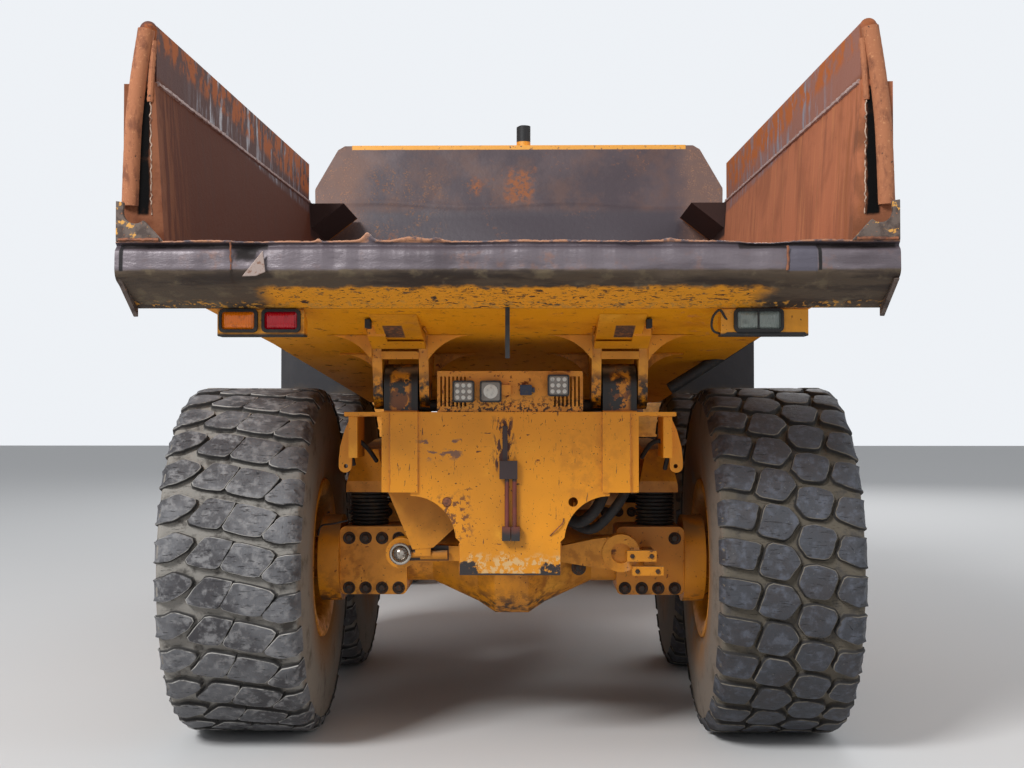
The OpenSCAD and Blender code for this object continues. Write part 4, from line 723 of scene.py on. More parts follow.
tear = np.array([(1.569, -5.501, z) for z in np.linspace(2.60, 3.15, 40)])
tear[:, 0] += 0.002 * rng.standard_normal(40) - 0.006 * np.linspace(1, 0, 40)
mesh_piece("torn_wall_edges", mirrored([hose(tear, 0.0030, 6)]), coat.done(), "dump_body")

# Tail lip: a bent plate across the floor's end, beaten by the load. It is dented and ragged
# along its top, patched by welding, scoured grey behind and still partly painted underneath.
lip_half = 1.687
lip_profile = [(-5.341, 2.472), (-5.44, 2.474), (-5.54, 2.475), (-5.590, 2.475), (-5.608, 2.473),
               (-5.611, 2.466), (-5.604, 2.459), (-5.603, 2.450), (-5.612, 2.441), (-5.620, 2.428),
               (-5.623, 2.40), (-5.624, 2.372), (-5.625, 2.350), (-5.618, 2.328), (-5.600, 2.310),
               (-5.565, 2.294), (-5.52, 2.275), (-5.43, 2.238), (-5.341, 2.201)]
# Dents as (x, z, half width, half height, depth) and curled bits of the edge as (x, width, rise)
lip_dents = [(-1.11, 2.425, 0.060, 0.030, 0.045), (-0.735, 2.39, 0.035, 0.06, 0.010),
             (-1.42, 2.447, 0.28, 0.014, 0.020), (1.46, 2.447, 0.24, 0.014, 0.020),
             (-0.30, 2.45, 0.20, 0.025, 0.012),
             (0.35, 2.30, 0.25, 0.03, 0.012), (1.08, 2.462, 0.11, 0.026, 0.034),
             (0.72, 2.33, 0.12, 0.03, 0.014), (1.48, 2.36, 0.09, 0.05, 0.012),
             (-0.02, 2.42, 0.5, 0.05, -0.007), (0.10, 2.33, 0.7, 0.02, -0.006),
             (-0.52, 2.31, 0.3, 0.02, 0.010), (0.55, 2.45, 0.10, 0.02, 0.010)]
lip_curls = [(-0.812, 0.012, 0.010), (-0.60, 0.024, 0.034), (-0.41, 0.07, 0.020),
             (-0.30, 0.03, 0.012), (0.24, 0.05, 0.006), (0.70, 0.02, 0.008)]


def waves(x, lengths, size):
    """Irregular waves along x: sines of several lengths with random starts."""
    starts = rng.random(len(lengths)) * 2 * math.pi
    return size * sum(np.sin(2 * math.pi * x / length + start)
                      for length, start in zip(lengths, starts)) / math.sqrt(len(lengths))


def lip_shell(columns=560):
    """The lip's profile carried along X: pushed in at the dents, stepped where a plate ends,
    rippled in the large, and its top edge cut ragged and curled up."""
    section = smooth_line(lip_profile, 4)
    x = np.linspace(-lip_half, lip_half, columns)
    y = np.broadcast_to(section[None, :, 0], (columns, len(section))).copy()
    z = np.broadcast_to(section[None, :, 1], y.shape).copy()
    across, rear = x[:, None], np.clip((-5.50 - y) / 0.08, 0, 1)
    push = sum(d * np.exp(-(((across - a) / w) ** 2) - (((z - b) / h) ** 2))
               for a, b, w, h, d in lip_dents)
    push = push + waves(x, (0.9, 0.43, 0.21, 0.13), 0.0035)[:, None]
    push = push + waves(x, (0.06, 0.035, 0.021), 0.0004)[:, None] * np.clip((z - 2.33) / 0.1, 0, 1)
    # The plate ends in a step on the left, and a patch stands proud of it on the right
    push = push + 0.006 * (across > -1.185) - 0.004 * ((across > 1.205) & (across < 1.33))
    y = np.maximum(y + rear * push, -5.6318)
    edge = np.exp(-(((z - 2.472) / 0.012) ** 2)) * rear
    ragged = np.abs(waves(x, (0.11, 0.05, 0.023), 0.0020)) + waves(x, (0.7, 0.33), 0.0025)
    z = z - edge * ragged[:, None]
    z = z + edge * sum(r * np.exp(-(((x - a) / w) ** 2)) for a, w, r in lip_curls)[:, None]
    z = z - 0.010 * np.exp(-((across - 1.10) ** 2) / 0.012) * edge
    under = np.clip((2.34 - z) / 0.03, 0, 1) * rear
    z = z + under * waves(x, (0.6, 0.27, 0.15), 0.004)[:, None]
    points = np.stack([np.broadcast_to(across, y.shape), y, z], -1)
    return points, closed_faces(columns, len(section))


arc = np.radians(np.linspace(17.9, -133.5, 12))
corner = [(1.482, 2.470), (1.686, 2.470), (1.686, 2.645), (1.6525, 2.640)]
corner += [(1.603 + 0.052 * math.cos(a), 2.599 + 0.052 * math.sin(a)) for a in arc]
corner += [(1.559, 2.555)]
cheek = [(-5.600, 2.3068), (-5.342, 2.1625), (-5.342, 2.215), (-5.560, 2.320)]
coat = Coat("scoured_lip", tone(106, 97, 102), 0.42, 0.2)
coat.patches(0.35, 0.45, 0.62, tone(84, 75, 80), 0.5, stretch=(2, 1, 0.4))
coat.patches(0.03, 0.42, 0.66, tone(132, 92, 72), 0.7, coat.spots(0.25, 0.48, 0.66, shift=2.0), 0.6)
coat.over(coat.along("Z", 2.405, 2.45, 0.03, 0.2), tone(80, 70, 76), 0.5)
coat.patches(0.02, 0.68, 0.78, tone(146, 140, 142), 0.4, stretch=(3, 1, 0.6))
# Below the face the plate turns under and is dark brown: rust, and painted shade.
rust_and_painted_shade_underside = coat.along("Z", 2.352, 2.338, 0.02, 0.1)
coat.over(rust_and_painted_shade_underside, tone(82, 68, 54), 0.75)
coat.patches(0.18, 0.44, 0.60, tone(52, 40, 32), 0.7, rust_and_painted_shade_underside, stretch=(3, 1, 0.4))
coat.patches(0.12, 0.52, 0.68, tone(104, 90, 70), 0.8, rust_and_painted_shade_underside, shift=4.0)
painted = coat.times(coat.along("Z", 2.286, 2.270, 0.06, 0.12), coat.spots(0.05, 0.68, 0.56),
                     coat.along("X", -1.12, -1.00, 0.3, 0.2), coat.along("X", 1.18, 1.05, 0.3, 0.2))
coat.over(painted, tone(228, 150, 20), 0.5)
coat.patches(0.03, 0.57, 0.60, tone(66, 42, 26), 0.75, painted, stretch=(2, 1, 1), warp=2.0)
coat.patches(0.010, 0.64, 0.68, tone(84, 50, 28), 0.8, painted)
coat.patches(0.03, 0.54, 0.60, tone(196, 138, 52), 0.7, coat.along("Z", 2.235, 2.220, 0.03, 0.1))
coat.patches(0.05, 0.36, 0.56, tone(168, 118, 88), 0.6, coat.along("Z", 2.462, 2.469, 0.004))
# Single marks as (x0, z0, x1, z1, edge, colour, roughness): two painted shadows under the top, the
# patch and painted shade in the black gap beside it, the dark left end, and painted shade in the
# deep dent
for x0, z0, x1, z1, edge, colour, rough in [
        (-1.66, 2.436, -1.03, 2.461, (0.005, 0.012), (34, 25, 26), 0.7),
        (1.00, 2.436, 1.67, 2.461, (0.005, 0.012), (34, 25, 26), 0.7),
        (1.203, 2.337, 1.331, 2.447, (0.004,), (84, 80, 90), 0.5),
        (1.334, 2.340, 1.349, 2.440, (0.002, 0.01), (18, 14, 14), 0.8),
        (-1.668, 2.340, -1.650, 2.455, (0.003,), (22, 18, 20), 0.8),
        (-1.170, 2.385, -1.075, 2.450, (0.012, 0.05, 0.05), (30, 23, 22), 0.7)]:
    coat.over(coat.window((x0, None, z0), (x1, None, z1), *edge), tone(*colour), rough)
coat.relief(coat.noise(0.03, stretch=(2, 1, 1), detail=7), 0.003)
coat.relief(coat.spots(0.02, 0.5, 0.8, stretch=(4, 1, 1), detail=4), 0.0008)
mesh_piece("tail_lip_plate", [lip_shell()], coat.done(), "dump_body",
           ("tail_lip",), sharp=40)
coat = Coat("end_plate_steel", tone(96, 82, 74), 0.7)
coat.patches(0.06, 0.45, 0.62, tone(66, 52, 46), 0.75)
coat.patches(0.04, 0.58, 0.62, tone(206, 150, 70), 0.7, coat.along("Z", 2.46, 2.50), shift=3.0)
coat.patches(0.02, 0.62, 0.68, tone(150, 96, 64), 0.8, shift=5.0)
coat.relief(coat.noise(0.012), 0.0012)
ends = mirrored([plate(cheek, "x", 1.664, 1.686), plate(corner, "y", -5.612, -5.588)])
mesh_piece("lip_end_plates", ends, coat.done(), "dump_body", bevel=0.003)
coat = Coat("bright_flap", tone(156, 138, 130), 0.4, 0.3)
coat.patches(0.02, 0.5, 0.66, tone(120, 88, 72), 0.6)
# The torn flap beside the dent, as (x, z)
flap = [(-1.135, 2.316), (-1.045, 2.428), (-1.034, 2.335), (-1.075, 2.318)]
mesh_piece("torn_flap", [plate(flap, "y", -5.6312, -5.622)], coat.done(), "dump_body",
           bevel=0.003)
beads = [weld((1.203, -5.6235, 2.340), (1.203, -5.6235, 2.445), 0.0055),
         weld((-1.186, -5.6225, 2.345), (-1.186, -5.6225, 2.462), 0.004),
         weld((1.500, -5.6155, 2.477), (1.675, -5.6155, 2.477), 0.007),
         weld((-1.500, -5.6155, 2.477), (-1.675, -5.6155, 2.477), 0.007)]
mesh_piece("lip_welds", beads, weld_rust, "dump_body")

# Headboard: the sloping front wall and the rock guard above it. Its scoured liner is bulged and
# scratched, purple grey with rust coming through, with a painted strip along the top.
# Liner's edge: half width at each height, and the wall's rear face as (z, y)
liner_edge = [(2.45, 1.49), (3.32, 1.54), (3.345, 1.655), (3.56, 1.665), (3.895, 1.487),
              (3.930, 1.43)]
liner_line = [(1.80, -0.950), (3.33, -0.450), (3.935, -0.330)]
liner_dents = [(-0.2, 3.20, 0.5, 0.2, 0.012), (0.55, 3.75, 0.4, 0.12, 0.010),
               (-0.9, 3.55, 0.35, 0.2, -0.006), (0.9, 3.15, 0.3, 0.15, 0.010),
               (-0.05, 3.62, 0.3, 0.15, 0.006), (1.2, 3.5, 0.2, 0.2, 0.008)]


def slab(front, back):
    """A closed sheet between two grids of the same shape."""
    rows, columns, _ = front.shape
    n = rows * columns
    rim = np.concatenate([np.arange(columns), np.arange(1, rows) * columns + columns - 1,
                          (rows - 1) * columns + np.arange(columns - 2, -1, -1),
                          np.arange(rows - 2, 0, -1) * columns])
    ahead = np.roll(rim, -1)
    face = grid_faces(rows, columns, wrap_columns=False)
    side = np.stack([rim, rim + n, ahead + n, ahead], 1)
    points = np.concatenate([front.reshape(-1, 3), back.reshape(-1, 3)])
    return points, [face, face[:, ::-1] + n, side]


def liner_shell(rows=90, columns=240):
    """The liner: across from edge to edge and up the wall's slope, bulged by its dents."""
    z = np.linspace(2.46, 3.929, rows)[:, None]
    share = np.linspace(-1, 1, columns)[None, :]
    x = share * np.interp(z, *np.transpose(liner_edge))
    y = np.interp(z, *np.transpose(liner_line)) - 0.003 + 0 * x
    fade = np.clip((1 - np.abs(share)) / 0.06, 0, 1) * np.clip((3.93 - z) / 0.05, 0, 1)
    bulge = sum(d * np.exp(-(((x - a) / w) ** 2) - (((z - b) / h) ** 2))
                for a, b, w, h, d in liner_dents)
    bulge = bulge + 0.004 * np.sin(5.1 * x + 2.0 * np.sin(3.3 * z)) * np.sin(7.7 * z)
    crease = 0.006 * np.exp(-(((z - 3.43 - 0.02 * np.sin(4 * x)) / 0.02) ** 2))
    front = np.stack([x, y - 0.006 - fade * (np.abs(bulge) + crease), z + 0 * x], -1)
    back = np.stack([x, y + 0.002, z + 0 * x], -1)
    return slab(front, back)


def guard_plate(name):
    """The headboard's finish: purple grey plate, rust in patches and speckles, paint on top."""
    coat = Coat(name, tone(78, 63, 66), 0.5, 0.1)
    coat.patches(0.6, 0.42, 0.62, tone(62, 50, 56), 0.55)
    coat.patches(0.3, 0.44, 0.66, tone(98, 68, 56), None, 0.5, shift=2.7)
    # Below the crease, where the wall is steeper, the plate is painted darker: painted shade.
    coat.over(coat.along("Z", 3.40, 3.34, 0.04), tone(58, 49, 56), 0.5)
    left_third = coat.window((-1.25, None, 3.10), (-0.62, None, 3.75), 0.12, 0.3, 0.3)
    coat.patches(0.016, 0.52, 0.62, tone(142, 102, 74), 0.8, left_third,
                 coat.spots(0.1, 0.42, 0.6), 0.75, detail=6)
    coat.patches(0.03, 0.56, 0.66, tone(122, 82, 60), 0.75, coat.spots(0.5, 0.52, 0.66, shift=6.6))
    wings = coat.sum_up("MAXIMUM", coat.along("X", 1.26, 1.42, 0.2),
                        coat.along("X", -1.16, -1.42, 0.2))
    coat.over(coat.times(wings, 0.5), tone(124, 92, 76), 0.7)
    coat.patches(0.010, 0.52, 0.64, tone(164, 118, 88), 0.8, wings, coat.spots(0.08, 0.40, 0.60),
                 0.7, shift=1.1)
    for x0, z0, x1, z1 in [(-0.09, 3.46, 0.11, 3.71), (-0.37, 3.54, -0.31, 3.64),
                           (-1.14, 3.08, -1.00, 3.16)]:
        coat.patches(0.04, 0.38, 0.56, tone(148, 92, 58), 0.8,
                     coat.window((x0, None, z0), (x1, None, z1), 0.05, 0.2, 0.06), shift=2.0)
    coat.patches(0.10, 0.72, 0.75, tone(116, 104, 104), 0.4, stretch=(5, 1, 0.2), shift=9.0)
    strip = coat.times(coat.along("Z", 3.893, 3.899, 0.006), coat.spots(0.03, 0.68, 0.60),
                       coat.along("X", -1.376, -1.366), coat.along("X", 1.376, 1.366))
    coat.over(strip, tone(222, 156, 60), 0.55)
    coat.relief(coat.noise(0.04, detail=6), 0.002)
    return coat


mesh_piece("headboard_liner", [liner_shell()], guard_plate("liner_plate").done(), "dump_body",
           sharp=50)
coat = guard_plate("guard_frame")
front_side = coat.sum_up("MAXIMUM", coat.facing("Y", 0.2, 0.4), coat.facing("Z", 0.75, 0.9))
outside_paint(coat, coat.times(front_side, coat.along("Y", -0.93, -0.90)))
# The stub on top is painted near black: painted shade.
coat.over(coat.window((-0.03, -0.28, 3.982), (0.11, -0.14, 4.2), 0.002), tone(17, 17, 19), 0.6)
finish_nodes(coat.done(), "headboard")

# Lamp boxes: folded steel boxes under the lip. The left one holds an amber and a red lamp in
# thick rubber frames, the right one a pale work lamp with a ribbed lens.
box_back, box_face = -5.241, -5.335
# Frame's outline as (x0, z0, x1, z1), for each lamp with its colour
lamp_frames = [(-1.300, 2.092, -1.124, 2.199, "amber"), (-1.107, 2.092, -0.931, 2.199, "red"),
               (1.014, 2.092, 1.237, 2.199, "pale")]
coat = worn_paint("lamp_box_paint", (222, 146, 20))
coat.over(coat.along("Z", 2.094, 2.080, 0.012), tone(30, 28, 28), 0.6)
box_paint = coat.done()
boxes = [plate([(box_face, 2.076), (box_face, 2.198), (box_back, 2.157), (box_back, 2.076)],
               "x", a, b) for a, b in [(-1.309, -0.916), (0.956, 1.349)]]
mesh_piece("lamp_box_bodies", boxes, box_paint, "dump_body", ("lamp_boxes",),
           bevel=0.004)
coat = Coat("frame_rubber", tone(26, 25, 26), 0.7)
coat.patches(0.03, 0.5, 0.7, tone(62, 56, 50), 0.9)
coat.relief(coat.noise(0.006), 0.0004)
frame_rubber = coat.done()


def lens(name, colour, rough=0.18):
    """Moulded lens plastic, dusty in patches, with fine vertical ribs in its surface."""
    coat = Coat(name, colour, rough)
    coat.patches(0.03, 0.52, 0.72, (*(c * 0.6 for c in colour[:3]), 1.0), 0.35)
    coat.patches(0.01, 0.70, 0.76, tone(150, 130, 110), 0.7)
    wave = coat.wire("TexWave", {"bands_direction": "X"}, {"Scale": 26.0, "Distortion": 0.0})
    coat.tree.links.new(coat.where.outputs["Object"], wave.inputs["Vector"])
    coat.relief(wave.outputs[1], 0.0012)
    return coat.done()


lenses = {"amber": lens("amber_lens", tone(238, 118, 4)), "red": lens("red_lens", tone(188, 6, 26)),
          "pale": lens("pale_lens", tone(128, 136, 130))}
rims = []
for x0, z0, x1, z1, colour in lamp_frames:
    outer = round_box(x0, z0, x1, z1, 0.022)
    inner = round_box(x0 + 0.014, z0 + 0.014, x1 - 0.014, z1 - 0.014, 0.014)
    # The frame is one loop of four edges: outer back, outer front, inner front, inner back
    loop = [(outer, box_face + 0.004), (outer, box_face - 0.016), (inner, box_face - 0.021),
            (inner, box_face + 0.004)]
    ring = np.stack([np.stack([o[:, 0], np.full(len(o), y), o[:, 1]], 1) for o, y in loop])
    rims.append((ring, [grid_faces(4, len(outer), wrap_rows=True)]))
    wide, high = (x1 - x0) / 2 - 0.013, (z1 - z0) / 2 - 0.013
    u, v = np.meshgrid(np.linspace(-1, 1, 24), np.linspace(-1, 1, 14))
    crown = 0.012 * (1 - u**4) * (1 - v**4)
    front = np.stack([(x0 + x1) / 2 + u * wide, box_face - 0.006 - crown,
                      (z0 + z1) / 2 + v * high], -1)
    back = front * (1, 0, 1) + (0, box_face + 0.003, 0)
    mesh_piece(f"{colour}_lamp", [slab(front, back)], lenses[colour], "dump_body")
mesh_piece("lamp_frames", rims, frame_rubber, "dump_body", bevel=0.002)
bar = [block((1.118, box_face - 0.0215, 2.106), (1.126, box_face - 0.004, 2.185)),
       plate([(0.962, 2.078), (1.343, 2.078), (1.332, 2.092), (0.985, 2.092)], "y",
             box_face - 0.004, box_face + 0.001)]
cable = hose([(1.02, -5.30, 2.17), (0.985, -5.33, 2.15), (0.953, -5.345, 2.19),
              (0.925, -5.34, 2.168), (0.915, -5.335, 2.128), (0.925, -5.33, 2.098),
              (0.962, -5.31, 2.085)], 0.0055, 8)
strap = block((-0.010, -5.352, 1.975), (0.010, -5.345, 2.205))
mesh_piece("lamp_trim", bar + [cable, strap], frame_rubber, "dump_body")

# Brackets and ribs under the body: flame-cut plates welded to the floor, painted with it.
# Low round the hinge pins they are painted dark: painted shade. The mudflaps are plain rubber
# sheets.
coat = worn_paint("bracket_paint", dirt=0.5, rust=0.63)
# Dark patches low on the brackets: painted shade.
coat.patches(0.05, 0.40, 0.56, tone(34, 26, 20), 0.5, coat.along("Z", 1.96, 1.86, 0.10))
finish_nodes(coat.done(), "hinge_brackets")
coat = worn_paint("wedge_paint", dirt=0.5)
for side in (-1, 1):
    low, high = sorted([side * 0.506, side * 0.598])
    square = coat.window((low, -5.035, None), (high, -4.845, None), 0.003)
    coat.over(square, tone(72, 46, 30), 0.85)
    coat.patches(0.02, 0.5, 0.6, tone(128, 76, 36), 0.85, square)
wedge = plate([(-5.21, 2.1835), (-4.69, 2.060), (-4.69, 2.123), (-5.19, 2.184)], "x", 0.420, 0.640)
mesh_piece("hinge_wedges", mirrored([wedge]), coat.done(), "dump_body", bevel=0.004)
notch = block((0.643, -5.14, 2.125), (0.668, -5.06, 2.168))
mesh_piece("wedge_rubbers", mirrored([notch]), frame_rubber, "dump_body",
           bevel=0.004)
coat = Coat("sheet_rubber", tone(46, 47, 52), 0.7)
coat.patches(0.4, 0.45, 0.65, tone(66, 66, 70), 0.8, stretch=(1, 1, 3))
coat.over(coat.along("Z", 1.95, 1.82, 0.2), tone(96, 86, 74), 0.9)
coat.relief(coat.noise(0.1, detail=3), 0.004)
finish_nodes(coat.done(), "mudflaps")
rib_beads = [weld((x, -4.901, 2.140), (x, -4.700, 2.122)) for x in (0.410, 0.692)]
rib_beads += [weld((a, y, z), (b, y, z)) for y, z in [(-4.672, 2.128), (-4.196, 2.045)]
              for a, b in [(0.190, 0.405), (0.695, 0.915)]]
painted_bead = worn_paint("painted_bead", (196, 120, 16)).done()
mesh_piece("bracket_welds", mirrored(rib_beads), painted_bead, "dump_body")

# Rear frame: welded box rails and a thick rear plate in old paint, scratched and chipped, worn
# black at its foot and rusty round the holes, greasy at the hinge bosses.
plate_y = -4.650


def facing_rear(shell, x, y, z):
    """A turned shell with its axis along X, set to point backwards at a place."""
    return np.reshape(shell[0], (-1, 3))[:, [1, 0, 2]] * (1, -1, 1) + (x, y, z), shell[1]


coat = worn_paint("frame_paint", dirt=0.60, rust=0.69, chips=0.67)
face = coat.along("Y", -4.620, -4.640)
coat.patches(0.05, 0.68, 0.70, tone(92, 54, 34), 0.7, face, stretch=(2.0, 1, 0.5), shift=3.3)
coat.patches(0.02, 0.66, 0.68, tone(70, 44, 32), 0.7, face, stretch=(0.5, 1, 4), shift=8.8)
scratch = coat.window((-0.46, None, 1.50), (-0.24, None, 1.60), 0.02, 0.08, 0.05)
coat.patches(0.045, 0.52, 0.55, tone(122, 88, 70), 0.7, face, scratch, stretch=(2.2, 1, 1),
             shift=1.3)
upper = coat.window((-0.08, None, 1.44), (0.02, None, 1.70), 0.02, 0.06, 0.05)
coat.patches(0.05, 0.50, 0.53, tone(84, 50, 40), 0.75, face, upper, stretch=(0.5, 1, 1.5),
             shift=2.3)
rear = coat.along("Y", -4.60, -4.62)
coat.patches(0.02, 0.48, 0.53, tone(196, 158, 104), 0.6, rear,
             coat.along("Z", 1.04, 0.99, 0.20, 0.09))
worn_corner = coat.sum_up("MAXIMUM", coat.along("X", -0.14, -0.16, 0.12, 0.06),
                          coat.along("X", 0.13, 0.15, 0.12, 0.06))
coat.patches(0.02, 0.36, 0.46, tone(30, 24, 24), 0.6, rear, worn_corner,
             coat.along("Z", 0.985, 0.975, 0.10, 0.05))
coat.over(coat.times(rear, coat.along("Z", 0.934, 0.928, 0.008, 0.05)), tone(34, 26, 24), 0.6)
coat.patches(0.03, 0.50, 0.58, tone(112, 68, 34), 0.75, coat.along("Y", -4.55, -4.60),
             coat.window((-0.47, None, 1.10), (-0.20, None, 1.31), 0.03, 0.16, 0.1))
for side in (-1, 1):
    low, high = sorted([side * 0.40, side * 0.72])
    boss = coat.window((low, -4.70, 1.742), (high, -4.2, 2.1), 0.004)
    coat.over(boss, tone(196, 126, 30), 0.45)
    coat.patches(0.06, 0.46, 0.54, tone(112, 64, 20), 0.4, boss, warp=0.5)
    coat.patches(0.045, 0.51, 0.56, tone(24, 18, 14), 0.35, boss, shift=5.0)
    low, high = sorted([side * 0.505, side * 0.60])
    core = coat.window((low, -4.8, 1.742), (high, -4.1, 2.2), 0.012, 0.03, 0.05)
    coat.over(coat.times(boss, coat.sum_up("SUBTRACT", 1.0, core)), tone(20, 16, 13), 0.5)
coat.patches(0.5, 0.46, 0.62, tone(168, 104, 28), 0.7, coat.along("Y", -4.45, -4.35))
coat.patches(0.2, 0.4, 0.6, tone(150, 124, 92), 0.9, coat.facing("Z", 0.5, 0.8))
finish_nodes(coat.done(), "rear_frame")
beads = [weld((0.462, plate_y - 0.001, 1.34), (0.462, plate_y - 0.001, 1.73), 0.005),
         weld((0.252, plate_y + 0.026, 0.93), (0.252, plate_y + 0.026, 1.08), 0.004),
         weld((0.600, plate_y - 0.014, 1.34), (0.600, plate_y - 0.014, 1.73), 0.003),
         weld((0.645, -4.646, 1.716), (0.826, -4.646, 1.716), 0.004)]
mesh_piece("frame_welds", mirrored(beads), painted_bead, "rear_frame")
plug = facing_rear(turned([(0.0, 0.0), (0.0, 0.023), (0.003, 0.021), (0.005, 0.0)], 20),
                   -0.315, plate_y + 0.004, 1.286)
wire = hose([(0.20, -4.653, 1.118), (0.232, -4.66, 1.150), (0.262, -4.658, 1.182),
             (0.268, -4.655, 1.205)], 0.003, 6)
mesh_piece("hole_rust", [plug, wire], weld_rust, "rear_frame")
coat = Coat("pin_rust", tone(94, 48, 34), 0.7)
coat.patches(0.05, 0.5, 0.65, tone(58, 40, 36), 0.6)
coat.over(coat.along("Z", 1.16, 1.12, 0.03), tone(30, 26, 26), 0.6)
coat.patches(0.04, 0.40, 0.62, tone(112, 48, 40), 0.6, coat.along("Z", 1.42, 1.38),
             coat.along("Z", 1.14, 1.2), stretch=(1, 1, 3))
coat.over(coat.along("Z", 1.385, 1.395, 0.01), tone(52, 38, 38), 0.65)
coat.relief(coat.noise(0.01), 0.0008)
finish_nodes(coat.done(), "tow_pin")

# Lamp panel: a folded plate between the bosses with cooling slots at its ends, and work lamps in
# black housings, screwed on, with small round reflectors that stand in their dull clear covers.
panel_y = -4.640
lamp_half = 0.0545
coat = worn_paint("panel_paint", (214, 138, 30), dirt=0.47, rust=0.60)
coat.patches(0.02, 0.50, 0.56, tone(62, 40, 24), 0.7, coat.along("Z", 1.84, 1.75, 0.05))
finish_nodes(coat.done(), "rear_panel")
coat = Coat("lamp_housing", tone(28, 28, 30), 0.5)
coat.patches(0.02, 0.5, 0.7, tone(84, 74, 62), 0.85)
coat.relief(coat.noise(0.004), 0.0003)
housing_black = coat.done()
coat = Coat("lamp_reflector", tone(196, 194, 186), 0.3, 0.2)
coat.patches(0.02, 0.5, 0.75, tone(150, 148, 142), 0.4)
reflector = coat.done()
coat = Coat("lamp_cover", tone(128, 124, 118), 0.22)
coat.patches(0.04, 0.45, 0.70, tone(104, 98, 90), 0.45)
lamp_cover = coat.done()
coat = Coat("connector_blue", tone(36, 44, 66), 0.5)
coat.patches(0.01, 0.5, 0.7, tone(74, 70, 66), 0.8)
connector_blue = coat.done()
housings, covers, reflectors = [], [], []
screw = turned([(0.0, 0.0), (0.0, 0.004), (0.002, 0.003), (0.002, 0.0)], 8)
# Reflectors as (across, up, radius, depth), and the lamps as (middle, foot, reflectors)
grid = [(0.030 * i, 0.030 * k, 0.0105, 0.0015) for i in (-1, 0, 1) for k in (-1, 0, 1)]
dish = [(0.0, 0.0, 0.036, 0.0015), (0.0, 0.0, 0.020, 0.0040)]
for mid, foot, dots in [(-0.232, 1.785, grid), (-0.096, 1.785, dish), (0.242, 1.815, grid)]:
    x0, x1, z0 = mid - lamp_half, mid + lamp_half, foot - 0.002
    z1 = z0 + 2 * lamp_half
    housings.append(plate(round_box(x0, z0, x1, z1, 0.012), "y", panel_y - 0.033,
                          panel_y - 0.0005))
    covers.append(plate(round_box(x0 + 0.009, z0 + 0.009, x1 - 0.009, z1 - 0.009, 0.008), "y",
                        panel_y - 0.0365, panel_y - 0.0325))
    for dx, dz, r, deep in dots:
        dot = [(0.0, 0.0), (0.0, r), (deep * 0.6, r * 0.92), (deep, r * 0.5), (deep, 0.0)]
        reflectors.append(facing_rear(turned(dot, 20), mid + dx, panel_y - 0.0364,
                                      foot + 0.0525 + dz))
    housings += [facing_rear(screw, mid + dx, panel_y - 0.033, foot + dz)
                 for dx in (-0.047, 0.047) for dz in (0.006, 0.099)]
mesh_piece("work_lamp_housings", housings, housing_black, "rear_frame",
           bevel=0.0015)
plug_in = [plate(round_box(0.050, 1.819, 0.110, 1.871, 0.006), "y", -4.668, panel_y - 0.0005),
           plate(round_box(0.110, 1.832, 0.124, 1.858, 0.004), "y", -4.662, panel_y - 0.0005)]
mesh_piece("lamp_connector", plug_in, connector_blue, "rear_frame", bevel=0.002)
mesh_piece("work_lamp_covers", covers, lamp_cover, "rear_frame", bevel=0.002)
mesh_piece("work_lamp_lenses", reflectors, reflector, "rear_frame")

# Bogie: cast axles with bolted spring pads, walking beams, track rod and rubber stacks. All are
# painted with the frame, dusty above and oily below, with dark bolts sunk in the pads.
coat = worn_paint("axle_paint", (216, 138, 12), dirt=0.52, rust=0.66)
coat.patches(0.05, 0.42, 0.6, tone(70, 46, 26), 0.5, coat.along("Z", 0.80, 0.70, 0.16))
coat.patches(0.15, 0.3, 0.55, tone(150, 112, 66), 0.9, coat.facing("Z", 0.4, 0.8))
coat.patches(0.05, 0.60, 0.68, tone(104, 62, 28), 0.7,
             coat.window((0.45, -4.60, 0.80), (0.80, -4.0, 1.12), 0.05))
axle_paint = coat.done()
finish_nodes(axle_paint, "bogie_axles", "bogie_beams")
coat = worn_paint("track_rod_paint", (216, 138, 12), rust=0.66)
coat.over(coat.window((-0.545, -4.42, 0.960), (-0.325, -4.31, 1.040), 0.002), tone(58, 44, 36), 0.5)
clamp = coat.window((0.585, -4.42, 0.87), (0.80, -4.33, 1.03), 0.006)
coat.patches(0.02, 0.42, 0.56, tone(200, 140, 78), 0.7, clamp, stretch=(0.4, 1, 3))
coat.patches(0.03, 0.56, 0.64, tone(96, 56, 32), 0.7, clamp, shift=2.0)
finish_nodes(coat.done(), "torque_rods")
coat = Coat("stack_rubber", tone(34, 32, 31), 0.75)
coat.patches(0.1, 0.45, 0.7, tone(80, 68, 54), 0.95)
coat.relief(coat.noise(0.02), 0.0015)
finish_nodes(coat.done(), "rubber_springs")
coat = Coat("shaft_steel", tone(52, 46, 42), 0.6, 0.3)
coat.patches(0.1, 0.45, 0.65, tone(96, 66, 42), 0.8)
finish_nodes(coat.done(), "drive_shafts")
coat = Coat("oily_bolts", tone(48, 38, 30), 0.45, 0.3)
coat.patches(0.015, 0.5, 0.62, tone(92, 56, 32), 0.75)
oily_bolt = coat.done()
pad_bolts = []
seat = turned([(-0.002, 0.0), (-0.002, 0.034), (0.002, 0.034), (0.0035, 0.031), (0.001, 0.027),
               (0.001, 0.0)], 24)
for pad_y in (-4.097, -2.157):
    for x in (0.610, 0.700, 0.789, 0.878):
        for z in (0.787, 1.055):
            # The track rod's foot covers the upper bolts on the right of the rear axle
            covered = x < 0.80 and z > 1 and pad_y < -4
            for s in (-1,) if covered else (-1, 1):
                pad_bolts += [facing_rear(shell, s * x, pad_y, z)
                              for shell in (seat, bolt_head(0.02, 0.014))]
